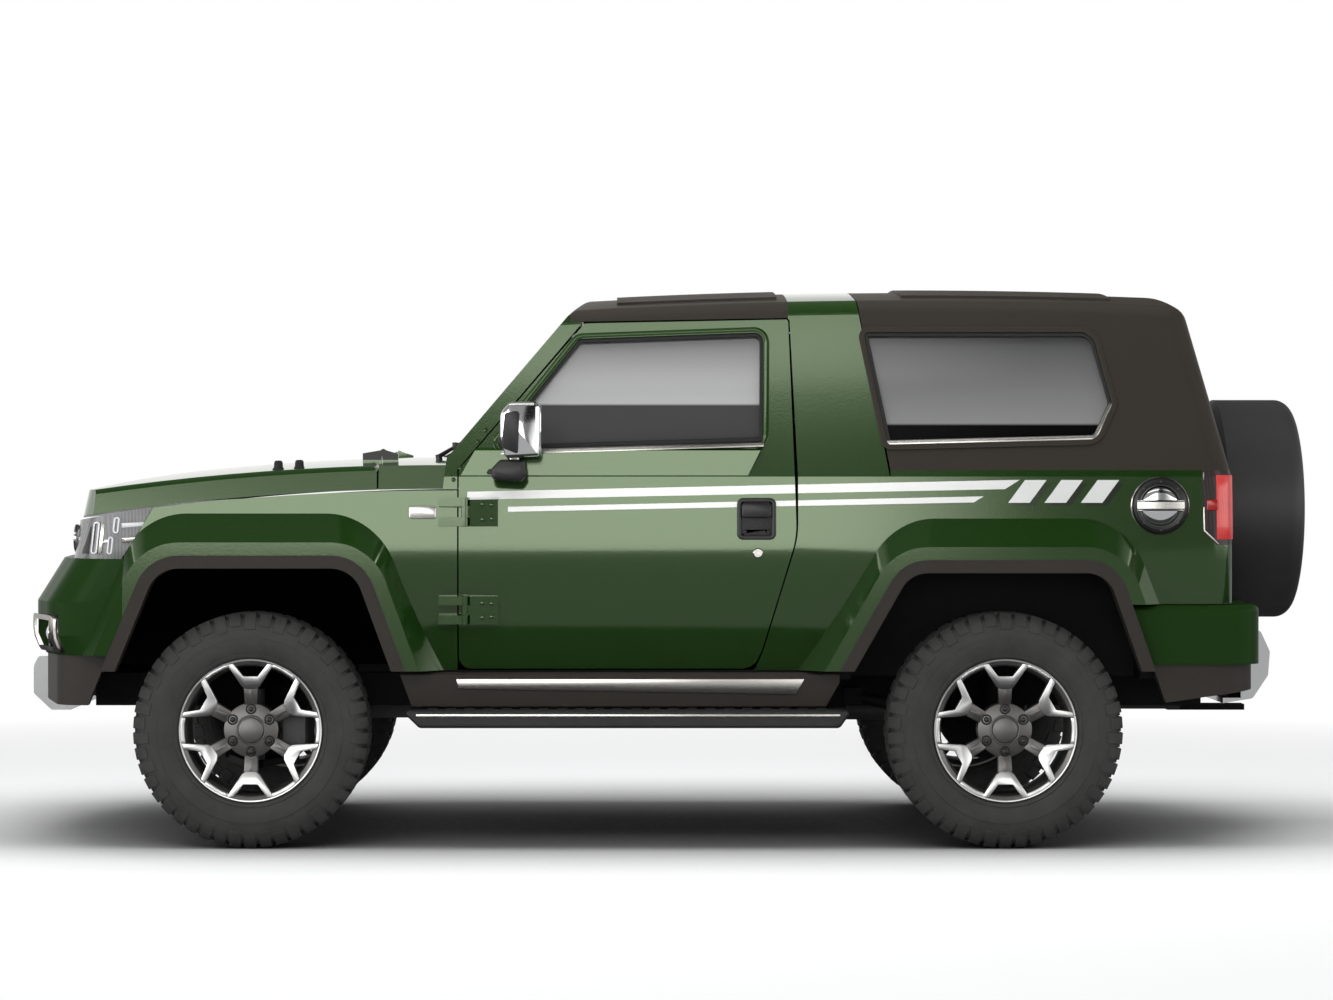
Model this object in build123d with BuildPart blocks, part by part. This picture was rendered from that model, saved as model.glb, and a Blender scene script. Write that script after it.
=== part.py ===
from build123d import *
from math import asin, cos, degrees, radians, sin, sqrt
import os

os.makedirs("parts", exist_ok=True)

# Driving dimensions in millimetres, X to the rear, Y to the right, Z up from the ground
wheelbase = 2450.0
front_overhang = 785.0
rear_overhang = 1085.0
axle_to_door = 675.0
door_length = 1098.0
axle_to_tail = 747.0
gap = 5.0
seam = 3.0

# Wheels and tyres
tyre_radius = 383.0
tyre_width = 265.0
rim_radius = 216.0
rim_lip_radius = 232.0
rim_inner_radius = 207.0
rim_width = 216.0
hub_radius = 84.0
spoke_count = 6
lug_circle_radius = 69.85
lug_radius = 11.0
bore_clearance = 0.05
spindle_radius = 30.0
disc_radius = 160.0
kingpin_inset = 60.0
steer_boss_radius = 32.0

# Body section
body_half = 862.0
wheel_tuck = 97.0
wall = 80.0
roof_wall = 45.0
sill_z = 577.0
sill_tuck = 36.0
belly_z = 930.0
shoulder_z = 1207.0
shoulder_tuck = 14.0
eave_lean = 0.294
roof_z = 1840.0
roof_arc_along = 20000.0
roof_arc_across = 4000.0
roof_peak_to_axle = 265.0
eave_radius = 70.0
tail_lean = 0.246

# Windscreen and roof
screen_to_door = 40.0
screen_base_z = 1268.0
screen_slope = 1.192
screen_run = 396.0
pillar_run = 67.0
roof_edge_front_z = 1716.0
roof_edge_rear_z = 1729.0
hoop_back = 21.0
hoop_top_width = 221.0
hoop_foot_width = 298.0
hardtop_z = 1228.0
glass_depth = 14.0
glass_thickness = 6.0

# Hood and nose
hood_arc = 8050.0
hood_edge_z = 1167.0
hood_tuck = 72.0
hood_crown_tuck = 26.0
hood_side_rise = 78.0
hood_rise = 107.0
hood_shell = 24.0
hood_drop = 480.0
hood_brow = 70.0
hood_lean = 0.22
hood_lip_z = 1064.0
nose_lean = 0.16
cowl_length = 225.0
axle_to_nose = 663.0
axle_to_fender_front = 410.0
fender_wall = 122.0

# Arches and flares
lip_width = 42.0
crest_width = 84.0
flare_top = 172.0
flare_side = 128.0
flare_out = 56.0
flare_root = 62.0
lip_proud = 3.0

# Bumpers, steps and frame
tip_to_bumper = 28.0
bumper_proud = 18.0
bumper_wall = 70.0
bumper_plate = 96.0
valance_wall = 44.0
valance_proud = 6.0
rear_bumper_wall = 97.0
bumper_low_z = 627.0
bumper_top_z = 940.0
tail_to_bumper = 100.0
axle_to_rear_bumper = 385.0
valance_low_z = 464.0
rear_bumper_low_z = 598.0
rear_bumper_top_z = 790.0
step_proud = 68.0
rail_half = 400.0
rail_width = 70.0
rail_low_z = 437.0
floor_low_z = 547.0

# Hinges
hinge_pin_radius = 8.0
hinge_barrel_radius = 12.0
door_axis_back = 21.0
door_axis_out = 16.0
hood_axis_z = 1291.0
tailgate_tuck = 212.0
tailgate_low_z = 840.0
tailgate_top_z = 1690.0
tailgate_axis_out = 16.0

# Spare wheel cover
spare_radius = 376.0
spare_z = 1097.0
spare_front_gap = 33.0

# Places that follow from the sizes above
overall_length = front_overhang + wheelbase + rear_overhang
front_axle_x = front_overhang - overall_length / 2
rear_axle_x = front_axle_x + wheelbase
tip_x = -overall_length / 2
end_x = overall_length / 2
axle_z = tyre_radius
wheel_y = body_half - wheel_tuck
door_front_x = front_axle_x + axle_to_door
door_rear_x = door_front_x + door_length
tail_x = rear_axle_x + axle_to_tail
kingpin_y = wheel_y - kingpin_inset
sill_half = body_half - sill_tuck
shoulder_half = body_half - shoulder_tuck
flare_half = body_half + flare_out
flare_root_half = body_half - flare_root
lip_half = flare_half + lip_proud
bumper_half = body_half + bumper_proud
valance_half = body_half + valance_proud
step_half = body_half + step_proud
fender_inner_half = body_half - fender_wall
hood_half = body_half - hood_tuck
hood_top_half = hood_half - hood_crown_tuck
tailgate_half = body_half - tailgate_tuck
roof_peak_x = rear_axle_x - roof_peak_to_axle
screen_base_x = door_front_x - screen_to_door
roof_front_x = screen_base_x + screen_run
cowl_x = screen_base_x - cowl_length
hood_arc_x = screen_base_x - 8.0
hoop_top_x = door_rear_x - hoop_back
nose_x = front_axle_x - axle_to_nose
fender_front_x = front_axle_x - axle_to_fender_front
front_bumper_x = tip_x + tip_to_bumper
rear_bumper_x = tail_x + tail_to_bumper
rear_bumper_front_x = rear_axle_x + axle_to_rear_bumper
far = 1300.0
high = 1950.0

# Wheel arch outlines, each measured from its axle
arch_names = ("axle_x", "front", "rear", "top_z", "front_lean", "rear_lean", "radius")
arch_rows = (
    (front_axle_x, -299.0, 336.0, 910.0, 0.408, 0.368, 105.0),
    (rear_axle_x, -311.0, 325.0, 895.0, 0.571, 0.352, 95.0),
)
arches = [dict(zip(arch_names, row)) for row in arch_rows]


def outline(points, radii=0.0, plane=Plane.XZ):
    with BuildSketch(plane) as face:
        with BuildLine():
            FilletPolyline(*points, radius=radii, close=True)
        make_face()
    return face.sketch


def arch_outline(arch, side, top, foot_z, plane, ease=0.0):
    front_run = side * sqrt(1 + arch["front_lean"] ** 2)
    rear_run = side * sqrt(1 + arch["rear_lean"] ** 2)
    top_z = arch["top_z"] + top
    front_top = arch["axle_x"] + arch["front"] - front_run + arch["front_lean"] * top
    rear_top = arch["axle_x"] + arch["rear"] + rear_run - arch["rear_lean"] * top
    drop = top_z - foot_z
    points = (
        (front_top - arch["front_lean"] * drop, foot_z),
        (front_top, top_z),
        (rear_top, top_z),
        (rear_top + arch["rear_lean"] * drop, foot_z),
    )
    radius = arch["radius"] + side + ease
    return outline(points, (0, radius, radius, 0), plane)


def screen_x(z):
    return screen_base_x + (z - screen_base_z) / screen_slope


def hood_edge(x):
    return hood_edge_z - hood_arc + sqrt(hood_arc**2 - (x - hood_arc_x) ** 2)


# The cabin hull, which every cabin panel is cut from
dome_axis = Axis((roof_peak_x, 0, roof_z - roof_arc_along), (0, 1, 0))
dome_start = radians(9)
dome_plane = Plane(
    origin=dome_axis.position,
    x_dir=(0, 1, 0),
    z_dir=(cos(dome_start), 0, sin(dome_start)),
)
hull_front_x = screen_base_x - 120.0


def cabin(side, roof, tail, corner):
    top_half = shoulder_half - eave_lean * (high - shoulder_z) - side
    crown = roof_arc_along - roof
    crown_drop = far**2 / (2 * roof_arc_across)
    back_x = tail_x - tail
    foot = sill_half - side
    belt = shoulder_half - side
    with BuildPart() as lower:
        with BuildSketch(Plane.YZ.offset(hull_front_x)) as section:
            with BuildLine():
                Line((-foot, sill_z), (foot, sill_z))
                ThreePointArc((foot, sill_z), (body_half - side, belly_z), (belt, shoulder_z))
                Line((belt, shoulder_z), (-belt, shoulder_z))
                ThreePointArc((-belt, shoulder_z), (side - body_half, belly_z), (-foot, sill_z))
            make_face()
        extrude(section.sketch, amount=back_x - hull_front_x)
        ends = [e for e in lower.edges() if e.center().X > back_x - 1 and abs(e.center().Y) > 500]
        fillet(ends, corner)
    with BuildPart() as hull:
        above = ((belt, shoulder_z), (top_half, high), (-top_half, high), (-belt, shoulder_z))
        extrude(outline(above, 0.0, Plane.YZ.offset(hull_front_x)), amount=back_x - hull_front_x)
        with BuildSketch(dome_plane) as dome:
            with BuildLine():
                bow = ThreePointArc((-far, crown - crown_drop), (0, crown), (far, crown - crown_drop))
                Polyline(bow @ 1, (far, crown - high), (-far, crown - high), bow @ 0)
            make_face()
        revolve(dome.sketch, axis=dome_axis, revolution_arc=17, mode=Mode.INTERSECT)
        rake = (
            (back_x, shoulder_z),
            (back_x - tail_lean * (high - shoulder_z), high),
            (back_x + far, high),
            (back_x + far, shoulder_z),
        )
        extrude(outline(rake), amount=far, both=True, mode=Mode.SUBTRACT)
        edges = hull.edges().filter_by(lambda e: e.center().Z > shoulder_z + 1)
        eaves = edges.filter_by(lambda e: e.length > 1500)
        ends = edges.filter_by(lambda e: e.center().X > back_x - 250)
        fillet(eaves + ends, corner)
        add(lower.part)
    return hull.part


hull_outer = cabin(0, 0, 0, eave_radius)
hull_inner = cabin(wall, roof_wall, wall, eave_radius / 2)
pane_outer = cabin(glass_depth, glass_depth, glass_depth, eave_radius)
pane_inner = cabin(glass_depth + glass_thickness, glass_depth, glass_depth + glass_thickness, eave_radius)
with BuildPart() as cabin_shell:
    add(hull_outer)
    add(hull_inner, mode=Mode.SUBTRACT)
with BuildPart() as pane_shell:
    add(pane_outer)
    add(pane_inner, mode=Mode.SUBTRACT)

# Doors
door_knee_z = screen_base_z + (door_front_x - gap - screen_base_x - pillar_run) * screen_slope
door_points = (
    (door_front_x, sill_z + gap),
    (door_front_x, door_knee_z),
    (screen_x(roof_edge_front_z - gap) + pillar_run + 2 * gap, roof_edge_front_z - gap),
    (hoop_top_x, roof_edge_rear_z - gap),
    (door_rear_x, 1010.0),
    (door_rear_x - 113.0, 640.0),
    (door_rear_x - 140.0, sill_z + gap),
)
door_radii = (40, 20, 8, 8, 300, 90, 60)
window_points = (
    (door_front_x + 102.0, 1290.0),
    (screen_x(1654.0) + 106.0, 1658.0),
    (door_rear_x - 103.0, 1680.0),
    (door_rear_x - 109.0, 1318.0),
)
window_radii = (25, 30, 30, 25)
door_axis_x = door_front_x + door_axis_back
door_axis_y = -(body_half + door_axis_out)
hinge_names = ("low_z", "high_z")
hinge_rows = ((1046.0, 1140.0), (728.0, 819.0))
hinges = [dict(zip(hinge_names, row)) for row in hinge_rows]
knuckle_share = 0.36

wedge_section = (
    (-shoulder_half + 1.0, shoulder_z),
    (-shoulder_half + 6.0, 1292.0),
    (-shoulder_half + eave_lean * 98.0 + 8.0, 1305.0),
    (-shoulder_half + 40.0, shoulder_z),
)
wedge_side = (
    (door_front_x + 4.0, shoulder_z),
    (door_front_x + 60.0, 1306.0),
    (door_rear_x - 110.0, 1306.0),
    (door_rear_x - 160.0, shoulder_z),
)
with BuildPart() as door_wedge:
    extrude(outline(wedge_section, 0.0, Plane.YZ.offset(door_front_x)), amount=door_length)
    extrude(outline(wedge_side), amount=far, mode=Mode.INTERSECT)
with BuildPart() as door_left:
    add(cabin_shell.part)
    extrude(outline(door_points, door_radii), amount=far, mode=Mode.INTERSECT)
    add(door_wedge.part)
    extrude(outline(window_points, window_radii), amount=far, mode=Mode.SUBTRACT)
    for hinge in hinges:
        span = hinge["high_z"] - hinge["low_z"]
        clear = knuckle_share * span - 2.0
        with BuildSketch(Plane.XY.offset(hinge["low_z"])) as leaf:
            with BuildLine():
                Polyline(
                    (door_axis_x, door_axis_y - 6.0),
                    (door_front_x + 128.0, door_axis_y + 8.0),
                    (door_front_x + 128.0, -(body_half - 40.0)),
                    (door_axis_x, -(body_half - 40.0)),
                    close=True,
                )
            make_face()
        extrude(leaf.sketch, amount=span)
        with BuildSketch(Plane.XY.offset(hinge["low_z"])) as barrel:
            with Locations((door_axis_x, door_axis_y)):
                Circle(hinge_barrel_radius)
        extrude(barrel.sketch, amount=span)
        for base_z in (hinge["low_z"] - 1.0, hinge["high_z"] - clear):
            with BuildSketch(Plane.XY.offset(base_z)) as notch:
                with Locations((door_axis_x, door_axis_y)):
                    Circle(hinge_barrel_radius + gap)
            extrude(notch.sketch, amount=clear + 1.0, mode=Mode.SUBTRACT)
        with BuildSketch(Plane.XY.offset(hinge["low_z"] - 1.0)) as pin_hole:
            with Locations((door_axis_x, door_axis_y)):
                Circle(hinge_pin_radius + bore_clearance)
        extrude(pin_hole.sketch, amount=span + 2.0, mode=Mode.SUBTRACT)
door_left.part.label = "door_left"
export_step(door_left.part, "parts/door_left.step")

with BuildPart() as door_right:
    mirror(door_left.part, about=Plane.XZ)
door_right.part.label = "door_right"
export_step(door_right.part, "parts/door_right.step")

with BuildPart() as door_glass_left:
    add(pane_shell.part)
    extrude(outline(window_points, window_radii), amount=far, mode=Mode.INTERSECT)
door_glass_left.part.label = "door_glass_left"
export_step(door_glass_left.part, "parts/door_glass_left.step")

with BuildPart() as door_glass_right:
    mirror(door_glass_left.part, about=Plane.XZ)
door_glass_right.part.label = "door_glass_right"
export_step(door_glass_right.part, "parts/door_glass_right.step")

# Door mirrors, each a housing on a foot at the window's front corner
mirror_x = door_front_x + 138.0
mirror_z = 1357.0
mirror_inner = body_half + 38.0
with BuildPart() as mirror_left:
    with BuildSketch(Plane.XY.offset(1175.0)) as foot:
        with BuildLine():
            FilletPolyline(
                (mirror_x - 22.0, -(mirror_inner + 100.0)),
                (mirror_x + 88.0, -(mirror_inner + 100.0)),
                (mirror_x + 88.0, -(shoulder_half - 1.0)),
                (mirror_x - 22.0, -(shoulder_half - 1.0)),
                radius=14.0,
                close=True,
            )
        make_face()
    extrude(foot.sketch, amount=100.0)
    with BuildSketch(Plane.XZ.offset(mirror_inner)) as head:
        with BuildLine():
            FilletPolyline(
                (mirror_x + 4.0, mirror_z - 92.0),
                (mirror_x + 132.0, mirror_z - 84.0),
                (mirror_x + 132.0, mirror_z + 91.0),
                (mirror_x + 16.0, mirror_z + 86.0),
                (mirror_x, mirror_z + 20.0),
                radius=(16, 10, 20, 34, 30),
                close=True,
            )
        make_face()
    extrude(head.sketch, amount=170.0)
    fillet(mirror_left.faces().sort_by(Axis.Y)[0].edges(), 9.0)
    add(door_left.part, mode=Mode.SUBTRACT)
mirror_left.part.label = "mirror_left"
export_step(mirror_left.part, "parts/mirror_left.step")

with BuildPart() as mirror_right:
    mirror(mirror_left.part, about=Plane.XZ)
mirror_right.part.label = "mirror_right"
export_step(mirror_right.part, "parts/mirror_right.step")

# Windscreen frame and glass
frame_points = (
    (screen_base_x - 12.0, hood_edge_z - 1.0),
    (screen_base_x, screen_base_z),
    (roof_front_x, screen_base_z + (roof_front_x - screen_base_x) * screen_slope),
    (roof_front_x, roof_edge_front_z),
    (screen_x(roof_edge_front_z) + pillar_run, roof_edge_front_z),
    (door_front_x - gap, door_knee_z),
    (door_front_x - gap, hood_edge_z - 1.0),
)
pane_low_z = 1312.0
pane_high_z = 1686.0
pane_low_half = shoulder_half - 106.0
pane_high_half = shoulder_half - 218.0
screen_hole = (
    (-pane_low_half, pane_low_z),
    (pane_low_half, pane_low_z),
    (pane_high_half, pane_high_z),
    (-pane_high_half, pane_high_z),
)
with BuildPart() as windscreen_frame:
    add(hull_outer)
    extrude(outline(frame_points), amount=far, both=True, mode=Mode.INTERSECT)
    foot_room = outline(
        (
            (-fender_inner_half, hood_edge_z - 10.0),
            (fender_inner_half, hood_edge_z - 10.0),
            (fender_inner_half, 1240.0),
            (-fender_inner_half, 1240.0),
        ),
        0.0,
        Plane.YZ.offset(screen_base_x - 100.0),
    )
    extrude(foot_room, amount=200.0, mode=Mode.SUBTRACT)
    hole = outline(screen_hole, 60.0, Plane.YZ.offset(screen_base_x - 100.0))
    extrude(hole, amount=800.0, mode=Mode.SUBTRACT)
windscreen_frame.part.label = "windscreen_frame"
export_step(windscreen_frame.part, "parts/windscreen_frame.step")

with BuildPart() as windscreen:
    extrude(outline(screen_hole, 60.0, Plane.YZ.offset(screen_base_x - 100.0)), amount=800.0)
    sheet = (
        (screen_x(1250.0) + 18.0, 1250.0),
        (screen_x(1760.0) + 18.0, 1760.0),
        (screen_x(1760.0) + 27.0, 1760.0),
        (screen_x(1250.0) + 27.0, 1250.0),
    )
    extrude(outline(sheet), amount=far, both=True, mode=Mode.INTERSECT)
windscreen.part.label = "windscreen"
export_step(windscreen.part, "parts/windscreen.step")

# Roof panels
hoop_rear_x = hoop_top_x + hoop_top_width
hoop_foot_x = door_rear_x + gap
with BuildPart() as roof_front:
    add(cabin_shell.part)
    roof_side = (
        (roof_front_x, roof_edge_front_z),
        (hoop_top_x, roof_edge_rear_z),
        (hoop_top_x, high),
        (screen_x(high), high),
        (roof_front_x, screen_base_z + screen_run * screen_slope),
    )
    extrude(outline(roof_side), amount=far, both=True, mode=Mode.INTERSECT)
    brow = roof_front.edges().filter_by(lambda e: abs(e.center().Y) < 1 and e.length > 900)
    brow = brow.filter_by(lambda e: e.center().X < roof_front_x + 100 and e.center().Z > roof_z - 60)
    fillet(brow, 40.0)
roof_front.part.label = "roof_front"
export_step(roof_front.part, "parts/roof_front.step")

hoop_points = (
    (hoop_top_x, high),
    (hoop_top_x, roof_edge_rear_z - gap),
    (hoop_top_x + gap, roof_edge_rear_z - gap),
    (hoop_foot_x, shoulder_z),
    (hoop_foot_x + hoop_foot_width, shoulder_z),
    (hoop_rear_x, roof_z - 30.0),
    (hoop_rear_x, high),
)
with BuildPart() as roof_hoop:
    add(cabin_shell.part)
    extrude(outline(hoop_points), amount=far, both=True, mode=Mode.INTERSECT)
roof_hoop.part.label = "roof_hoop"
export_step(roof_hoop.part, "parts/roof_hoop.step")

tailgate_hole = (
    (-tailgate_half - gap, sill_z - 10.0),
    (tailgate_half + gap, sill_z - 10.0),
    (tailgate_half + gap, shoulder_z),
    (tailgate_half - 58.0 + gap, tailgate_top_z + gap),
    (-tailgate_half + 58.0 - gap, tailgate_top_z + gap),
    (-tailgate_half - gap, shoulder_z),
)
side_window = (
    (hoop_rear_x + 28.0, 1680.0),
    (rear_axle_x + 275.0, 1680.0),
    (rear_axle_x + 306.0, 1655.0),
    (rear_axle_x + 357.0, 1445.0),
    (rear_axle_x + 300.0, 1330.0),
    (hoop_foot_x + hoop_foot_width - 4.0, 1313.0),
)
side_window_radii = (14, 30, 30, 40, 40, 14)
with BuildPart() as hardtop:
    add(cabin_shell.part)
    top_side = (
        (hoop_foot_x + hoop_foot_width + seam, hardtop_z),
        (hoop_rear_x + seam, roof_z - 30.0),
        (hoop_rear_x + seam, high),
        (tail_x + 50.0, high),
        (tail_x + 50.0, hardtop_z),
    )
    extrude(outline(top_side), amount=far, both=True, mode=Mode.INTERSECT)
    back = outline(tailgate_hole, 0.0, Plane.YZ.offset(tail_x - 330.0))
    extrude(back, amount=500.0, mode=Mode.SUBTRACT)
    extrude(outline(side_window, side_window_radii), amount=far, both=True, mode=Mode.SUBTRACT)
hardtop.part.label = "hardtop"
export_step(hardtop.part, "parts/hardtop.step")

with BuildPart() as side_glass:
    add(pane_shell.part)
    extrude(outline(side_window, side_window_radii), amount=far, both=True, mode=Mode.INTERSECT)
side_glass.part.label = "side_glass"
export_step(side_glass.part, "parts/side_glass.step")

# Tailgate, hinged at the right, with its glass and the spare wheel's cover
tailgate_axis_x = tail_x + tailgate_axis_out
tailgate_axis_y = tailgate_half - 30.0
gate_points = (
    (-tailgate_half, tailgate_low_z),
    (tailgate_half, tailgate_low_z),
    (tailgate_half, shoulder_z),
    (tailgate_half - 58.0, tailgate_top_z),
    (-tailgate_half + 58.0, tailgate_top_z),
    (-tailgate_half, shoulder_z),
)
pane_half = tailgate_half - 90.0
gate_pane = (
    (-pane_half, 1310.0),
    (pane_half, 1310.0),
    (pane_half - 44.0, 1640.0),
    (-pane_half + 44.0, 1640.0),
)
gate_hinge_rows = ((905.0, 985.0), (1130.0, 1210.0))
gate_hinges = [dict(zip(hinge_names, row)) for row in gate_hinge_rows]
with BuildPart() as tailgate:
    add(cabin_shell.part)
    gate_face = outline(gate_points, (50, 50, 0, 40, 40, 0), Plane.YZ.offset(tail_x - 330.0))
    extrude(gate_face, amount=400.0, mode=Mode.INTERSECT)
    gate_side = (
        (tail_x - wall, tailgate_low_z - 10.0),
        (tail_x - wall, shoulder_z),
        (tail_x - wall - tail_lean * (high - shoulder_z), high),
        (tail_x + 50.0, high),
        (tail_x + 50.0, tailgate_low_z - 10.0),
    )
    extrude(outline(gate_side), amount=far, both=True, mode=Mode.INTERSECT)
    extrude(outline(gate_pane, 45.0, Plane.YZ.offset(tail_x - 330.0)), amount=400.0, mode=Mode.SUBTRACT)
    for hinge in gate_hinges:
        span = hinge["high_z"] - hinge["low_z"]
        clear = knuckle_share * span - 2.0
        with BuildSketch(Plane.XY.offset(hinge["low_z"])) as leaf:
            with BuildLine():
                Polyline(
                    (tailgate_axis_x + 8.0, tailgate_axis_y),
                    (tailgate_axis_x - 4.0, tailgate_axis_y - 150.0),
                    (tail_x - 20.0, tailgate_axis_y - 150.0),
                    (tail_x - 20.0, tailgate_axis_y),
                    close=True,
                )
            make_face()
        extrude(leaf.sketch, amount=span)
        with BuildSketch(Plane.XY.offset(hinge["low_z"])) as barrel:
            with Locations((tailgate_axis_x, tailgate_axis_y)):
                Circle(hinge_barrel_radius)
        extrude(barrel.sketch, amount=span)
        for base_z in (hinge["low_z"] - 1.0, hinge["high_z"] - clear):
            with BuildSketch(Plane.XY.offset(base_z)) as notch:
                with Locations((tailgate_axis_x, tailgate_axis_y)):
                    Circle(hinge_barrel_radius + gap)
            extrude(notch.sketch, amount=clear + 1.0, mode=Mode.SUBTRACT)
        with BuildSketch(Plane.XY.offset(hinge["low_z"] - 1.0)) as pin_hole:
            with Locations((tailgate_axis_x, tailgate_axis_y)):
                Circle(hinge_pin_radius + bore_clearance)
        extrude(pin_hole.sketch, amount=span + 2.0, mode=Mode.SUBTRACT)
tailgate.part.label = "tailgate"
export_step(tailgate.part, "parts/tailgate.step")

with BuildPart() as tailgate_glass:
    add(pane_shell.part)
    extrude(outline(gate_pane, 45.0, Plane.YZ.offset(tail_x - 330.0)), amount=400.0, mode=Mode.INTERSECT)
tailgate_glass.part.label = "tailgate_glass"
export_step(tailgate_glass.part, "parts/tailgate_glass.step")

with BuildPart() as spare_cover:
    with BuildSketch(Plane.XZ) as cover:
        with BuildLine():
            rim_x = tail_x + spare_front_gap
            edge_z = spare_z + spare_radius
            Polyline(
                (tail_x, spare_z),
                (tail_x, spare_z + 150.0),
                (rim_x, spare_z + 150.0),
                (rim_x, edge_z - 25.0),
                (rim_x + 25.0, edge_z),
                (end_x - 70.0, edge_z),
            )
            corner = (end_x - 16.0, edge_z - 56.0)
            ThreePointArc((end_x - 70.0, edge_z), (end_x - 31.0, edge_z - 16.0), corner)
            ThreePointArc(corner, (end_x - 4.0, spare_z + 190.0), (end_x, spare_z + 60.0))
            Polyline((end_x, spare_z + 60.0), (end_x, spare_z), (tail_x, spare_z))
        make_face()
    revolve(cover.sketch, axis=Axis((0, 0, spare_z), (1, 0, 0)))
spare_cover.part.label = "spare_cover"
export_step(spare_cover.part, "parts/spare_cover.step")

# Flares, whose crest stands out from the side
flares = []
for arch in arches:
    spread = (flare_half - flare_root_half) / (flare_half - body_half)
    root_side = crest_width + (flare_side - crest_width) * spread
    root_top = crest_width + (flare_top - crest_width) * spread
    with BuildPart() as flare:
        root = arch_outline(arch, root_side, root_top, sill_z, Plane.XZ.offset(flare_root_half))
        crest = arch_outline(arch, crest_width, crest_width, sill_z, Plane.XZ.offset(flare_half))
        loft([root, crest], ruled=True)
        inside = arch_outline(arch, lip_width, lip_width, sill_z - 100.0, Plane.XZ)
        extrude(inside, amount=far, mode=Mode.SUBTRACT)
    flares.append(flare.part)

# Headlamp outline, which the fenders stop at
lamp_points = (
    (nose_x + 42.0, bumper_top_z),
    (nose_x + 68.0, 1062.0),
    (nose_x + 342.0, 1106.0),
    (nose_x + 298.0, 1030.0),
    (nose_x + 241.0, bumper_top_z),
)
lamp_clear = (
    (nose_x + 198.0, bumper_top_z),
    (nose_x + 241.0 + seam, bumper_top_z),
    (nose_x + 298.0 + seam, 1030.0),
    (nose_x + 342.0 + seam, 1106.0),
    (nose_x + 342.0 + seam, 1250.0),
    (nose_x + 198.0, 1250.0),
)

# Front fenders
with BuildPart() as front_fenders:
    with BuildSketch(Plane.YZ.offset(fender_front_x)) as section:
        with BuildLine():
            Polyline(
                (-shoulder_half, shoulder_z),
                (-fender_inner_half, shoulder_z),
                (-fender_inner_half, sill_z),
                (-sill_half, sill_z),
            )
            ThreePointArc((-sill_half, sill_z), (-body_half, belly_z), (-shoulder_half, shoulder_z))
        make_face()
    extrude(section.sketch, amount=door_front_x - gap - fender_front_x)
    add(flares[0])
    with BuildSketch(Plane.XZ) as region:
        with BuildLine():
            rear_x = door_front_x - gap
            mid_x = (rear_x + fender_front_x) / 2
            top = ThreePointArc(
                (fender_front_x, hood_edge(fender_front_x) - gap),
                (mid_x, hood_edge(mid_x) - gap),
                (rear_x, hood_edge(rear_x) - gap),
            )
            Polyline(top @ 1, (rear_x, sill_z), (fender_front_x, sill_z), top @ 0)
        make_face()
    extrude(region.sketch, amount=far, mode=Mode.INTERSECT)
    extrude(outline(lamp_clear), amount=far, mode=Mode.SUBTRACT)
    inside = arch_outline(arches[0], lip_width, lip_width, sill_z - 100.0, Plane.XZ)
    extrude(inside, amount=far, mode=Mode.SUBTRACT)
    for hinge in hinges:
        span = hinge["high_z"] - hinge["low_z"]
        clear = knuckle_share * span - 4.0
        with BuildSketch(Plane.XY.offset(hinge["low_z"])) as pin:
            with Locations((door_axis_x, door_axis_y)):
                Circle(hinge_pin_radius)
        extrude(pin.sketch, amount=span)
        for base_z in (hinge["low_z"], hinge["high_z"] - clear):
            with BuildSketch(Plane.XY.offset(base_z)) as ear:
                with BuildLine():
                    Polyline(
                        (door_axis_x, door_axis_y - 6.0),
                        (door_axis_x, door_axis_y + 6.0),
                        (door_front_x - gap, door_axis_y + 6.0),
                        (door_front_x - gap, -(body_half - 12.0)),
                        (door_front_x - gap - 60.0, -(body_half - 12.0)),
                        (door_front_x - gap - 60.0, door_axis_y),
                        (door_front_x - gap, door_axis_y - 6.0),
                        close=True,
                    )
                make_face()
                with Locations((door_axis_x, door_axis_y)):
                    Circle(hinge_barrel_radius - 1.0)
            extrude(ear.sketch, amount=clear)
    mirror(about=Plane.XZ)
front_fenders.part.label = "front_fenders"
export_step(front_fenders.part, "parts/front_fenders.step")

# Rear quarters with their rear corners
lamp_low_z = 985.0
lamp_front_x = tail_x - 106.0
lamp_inner_half = tailgate_half + 50.0
lamp_side = (
    (lamp_front_x, hardtop_z),
    (lamp_front_x, lamp_low_z + 45.0),
    (lamp_front_x + 45.0, lamp_low_z),
    (tail_x + 50.0, lamp_low_z),
    (tail_x + 50.0, hardtop_z),
)
with BuildPart() as lamp_room:
    extrude(outline(lamp_side), amount=far, both=True)
    with Locations((tail_x, 0, lamp_low_z)):
        Box(2 * far, 2 * lamp_inner_half, 2 * far, mode=Mode.SUBTRACT)
quarter_points = (
    (hoop_foot_x, shoulder_z),
    (hoop_foot_x, 1010.0),
    (hoop_foot_x - 113.0, 640.0),
    (hoop_foot_x - 140.0, sill_z),
    (rear_axle_x, sill_z),
    (rear_axle_x, rear_bumper_top_z + seam),
    (tail_x + 50.0, rear_bumper_top_z + seam),
    (tail_x + 50.0, hardtop_z),
    (hoop_foot_x + hoop_foot_width + seam, hardtop_z),
    (hoop_foot_x + hoop_foot_width + seam, shoulder_z),
)
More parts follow.
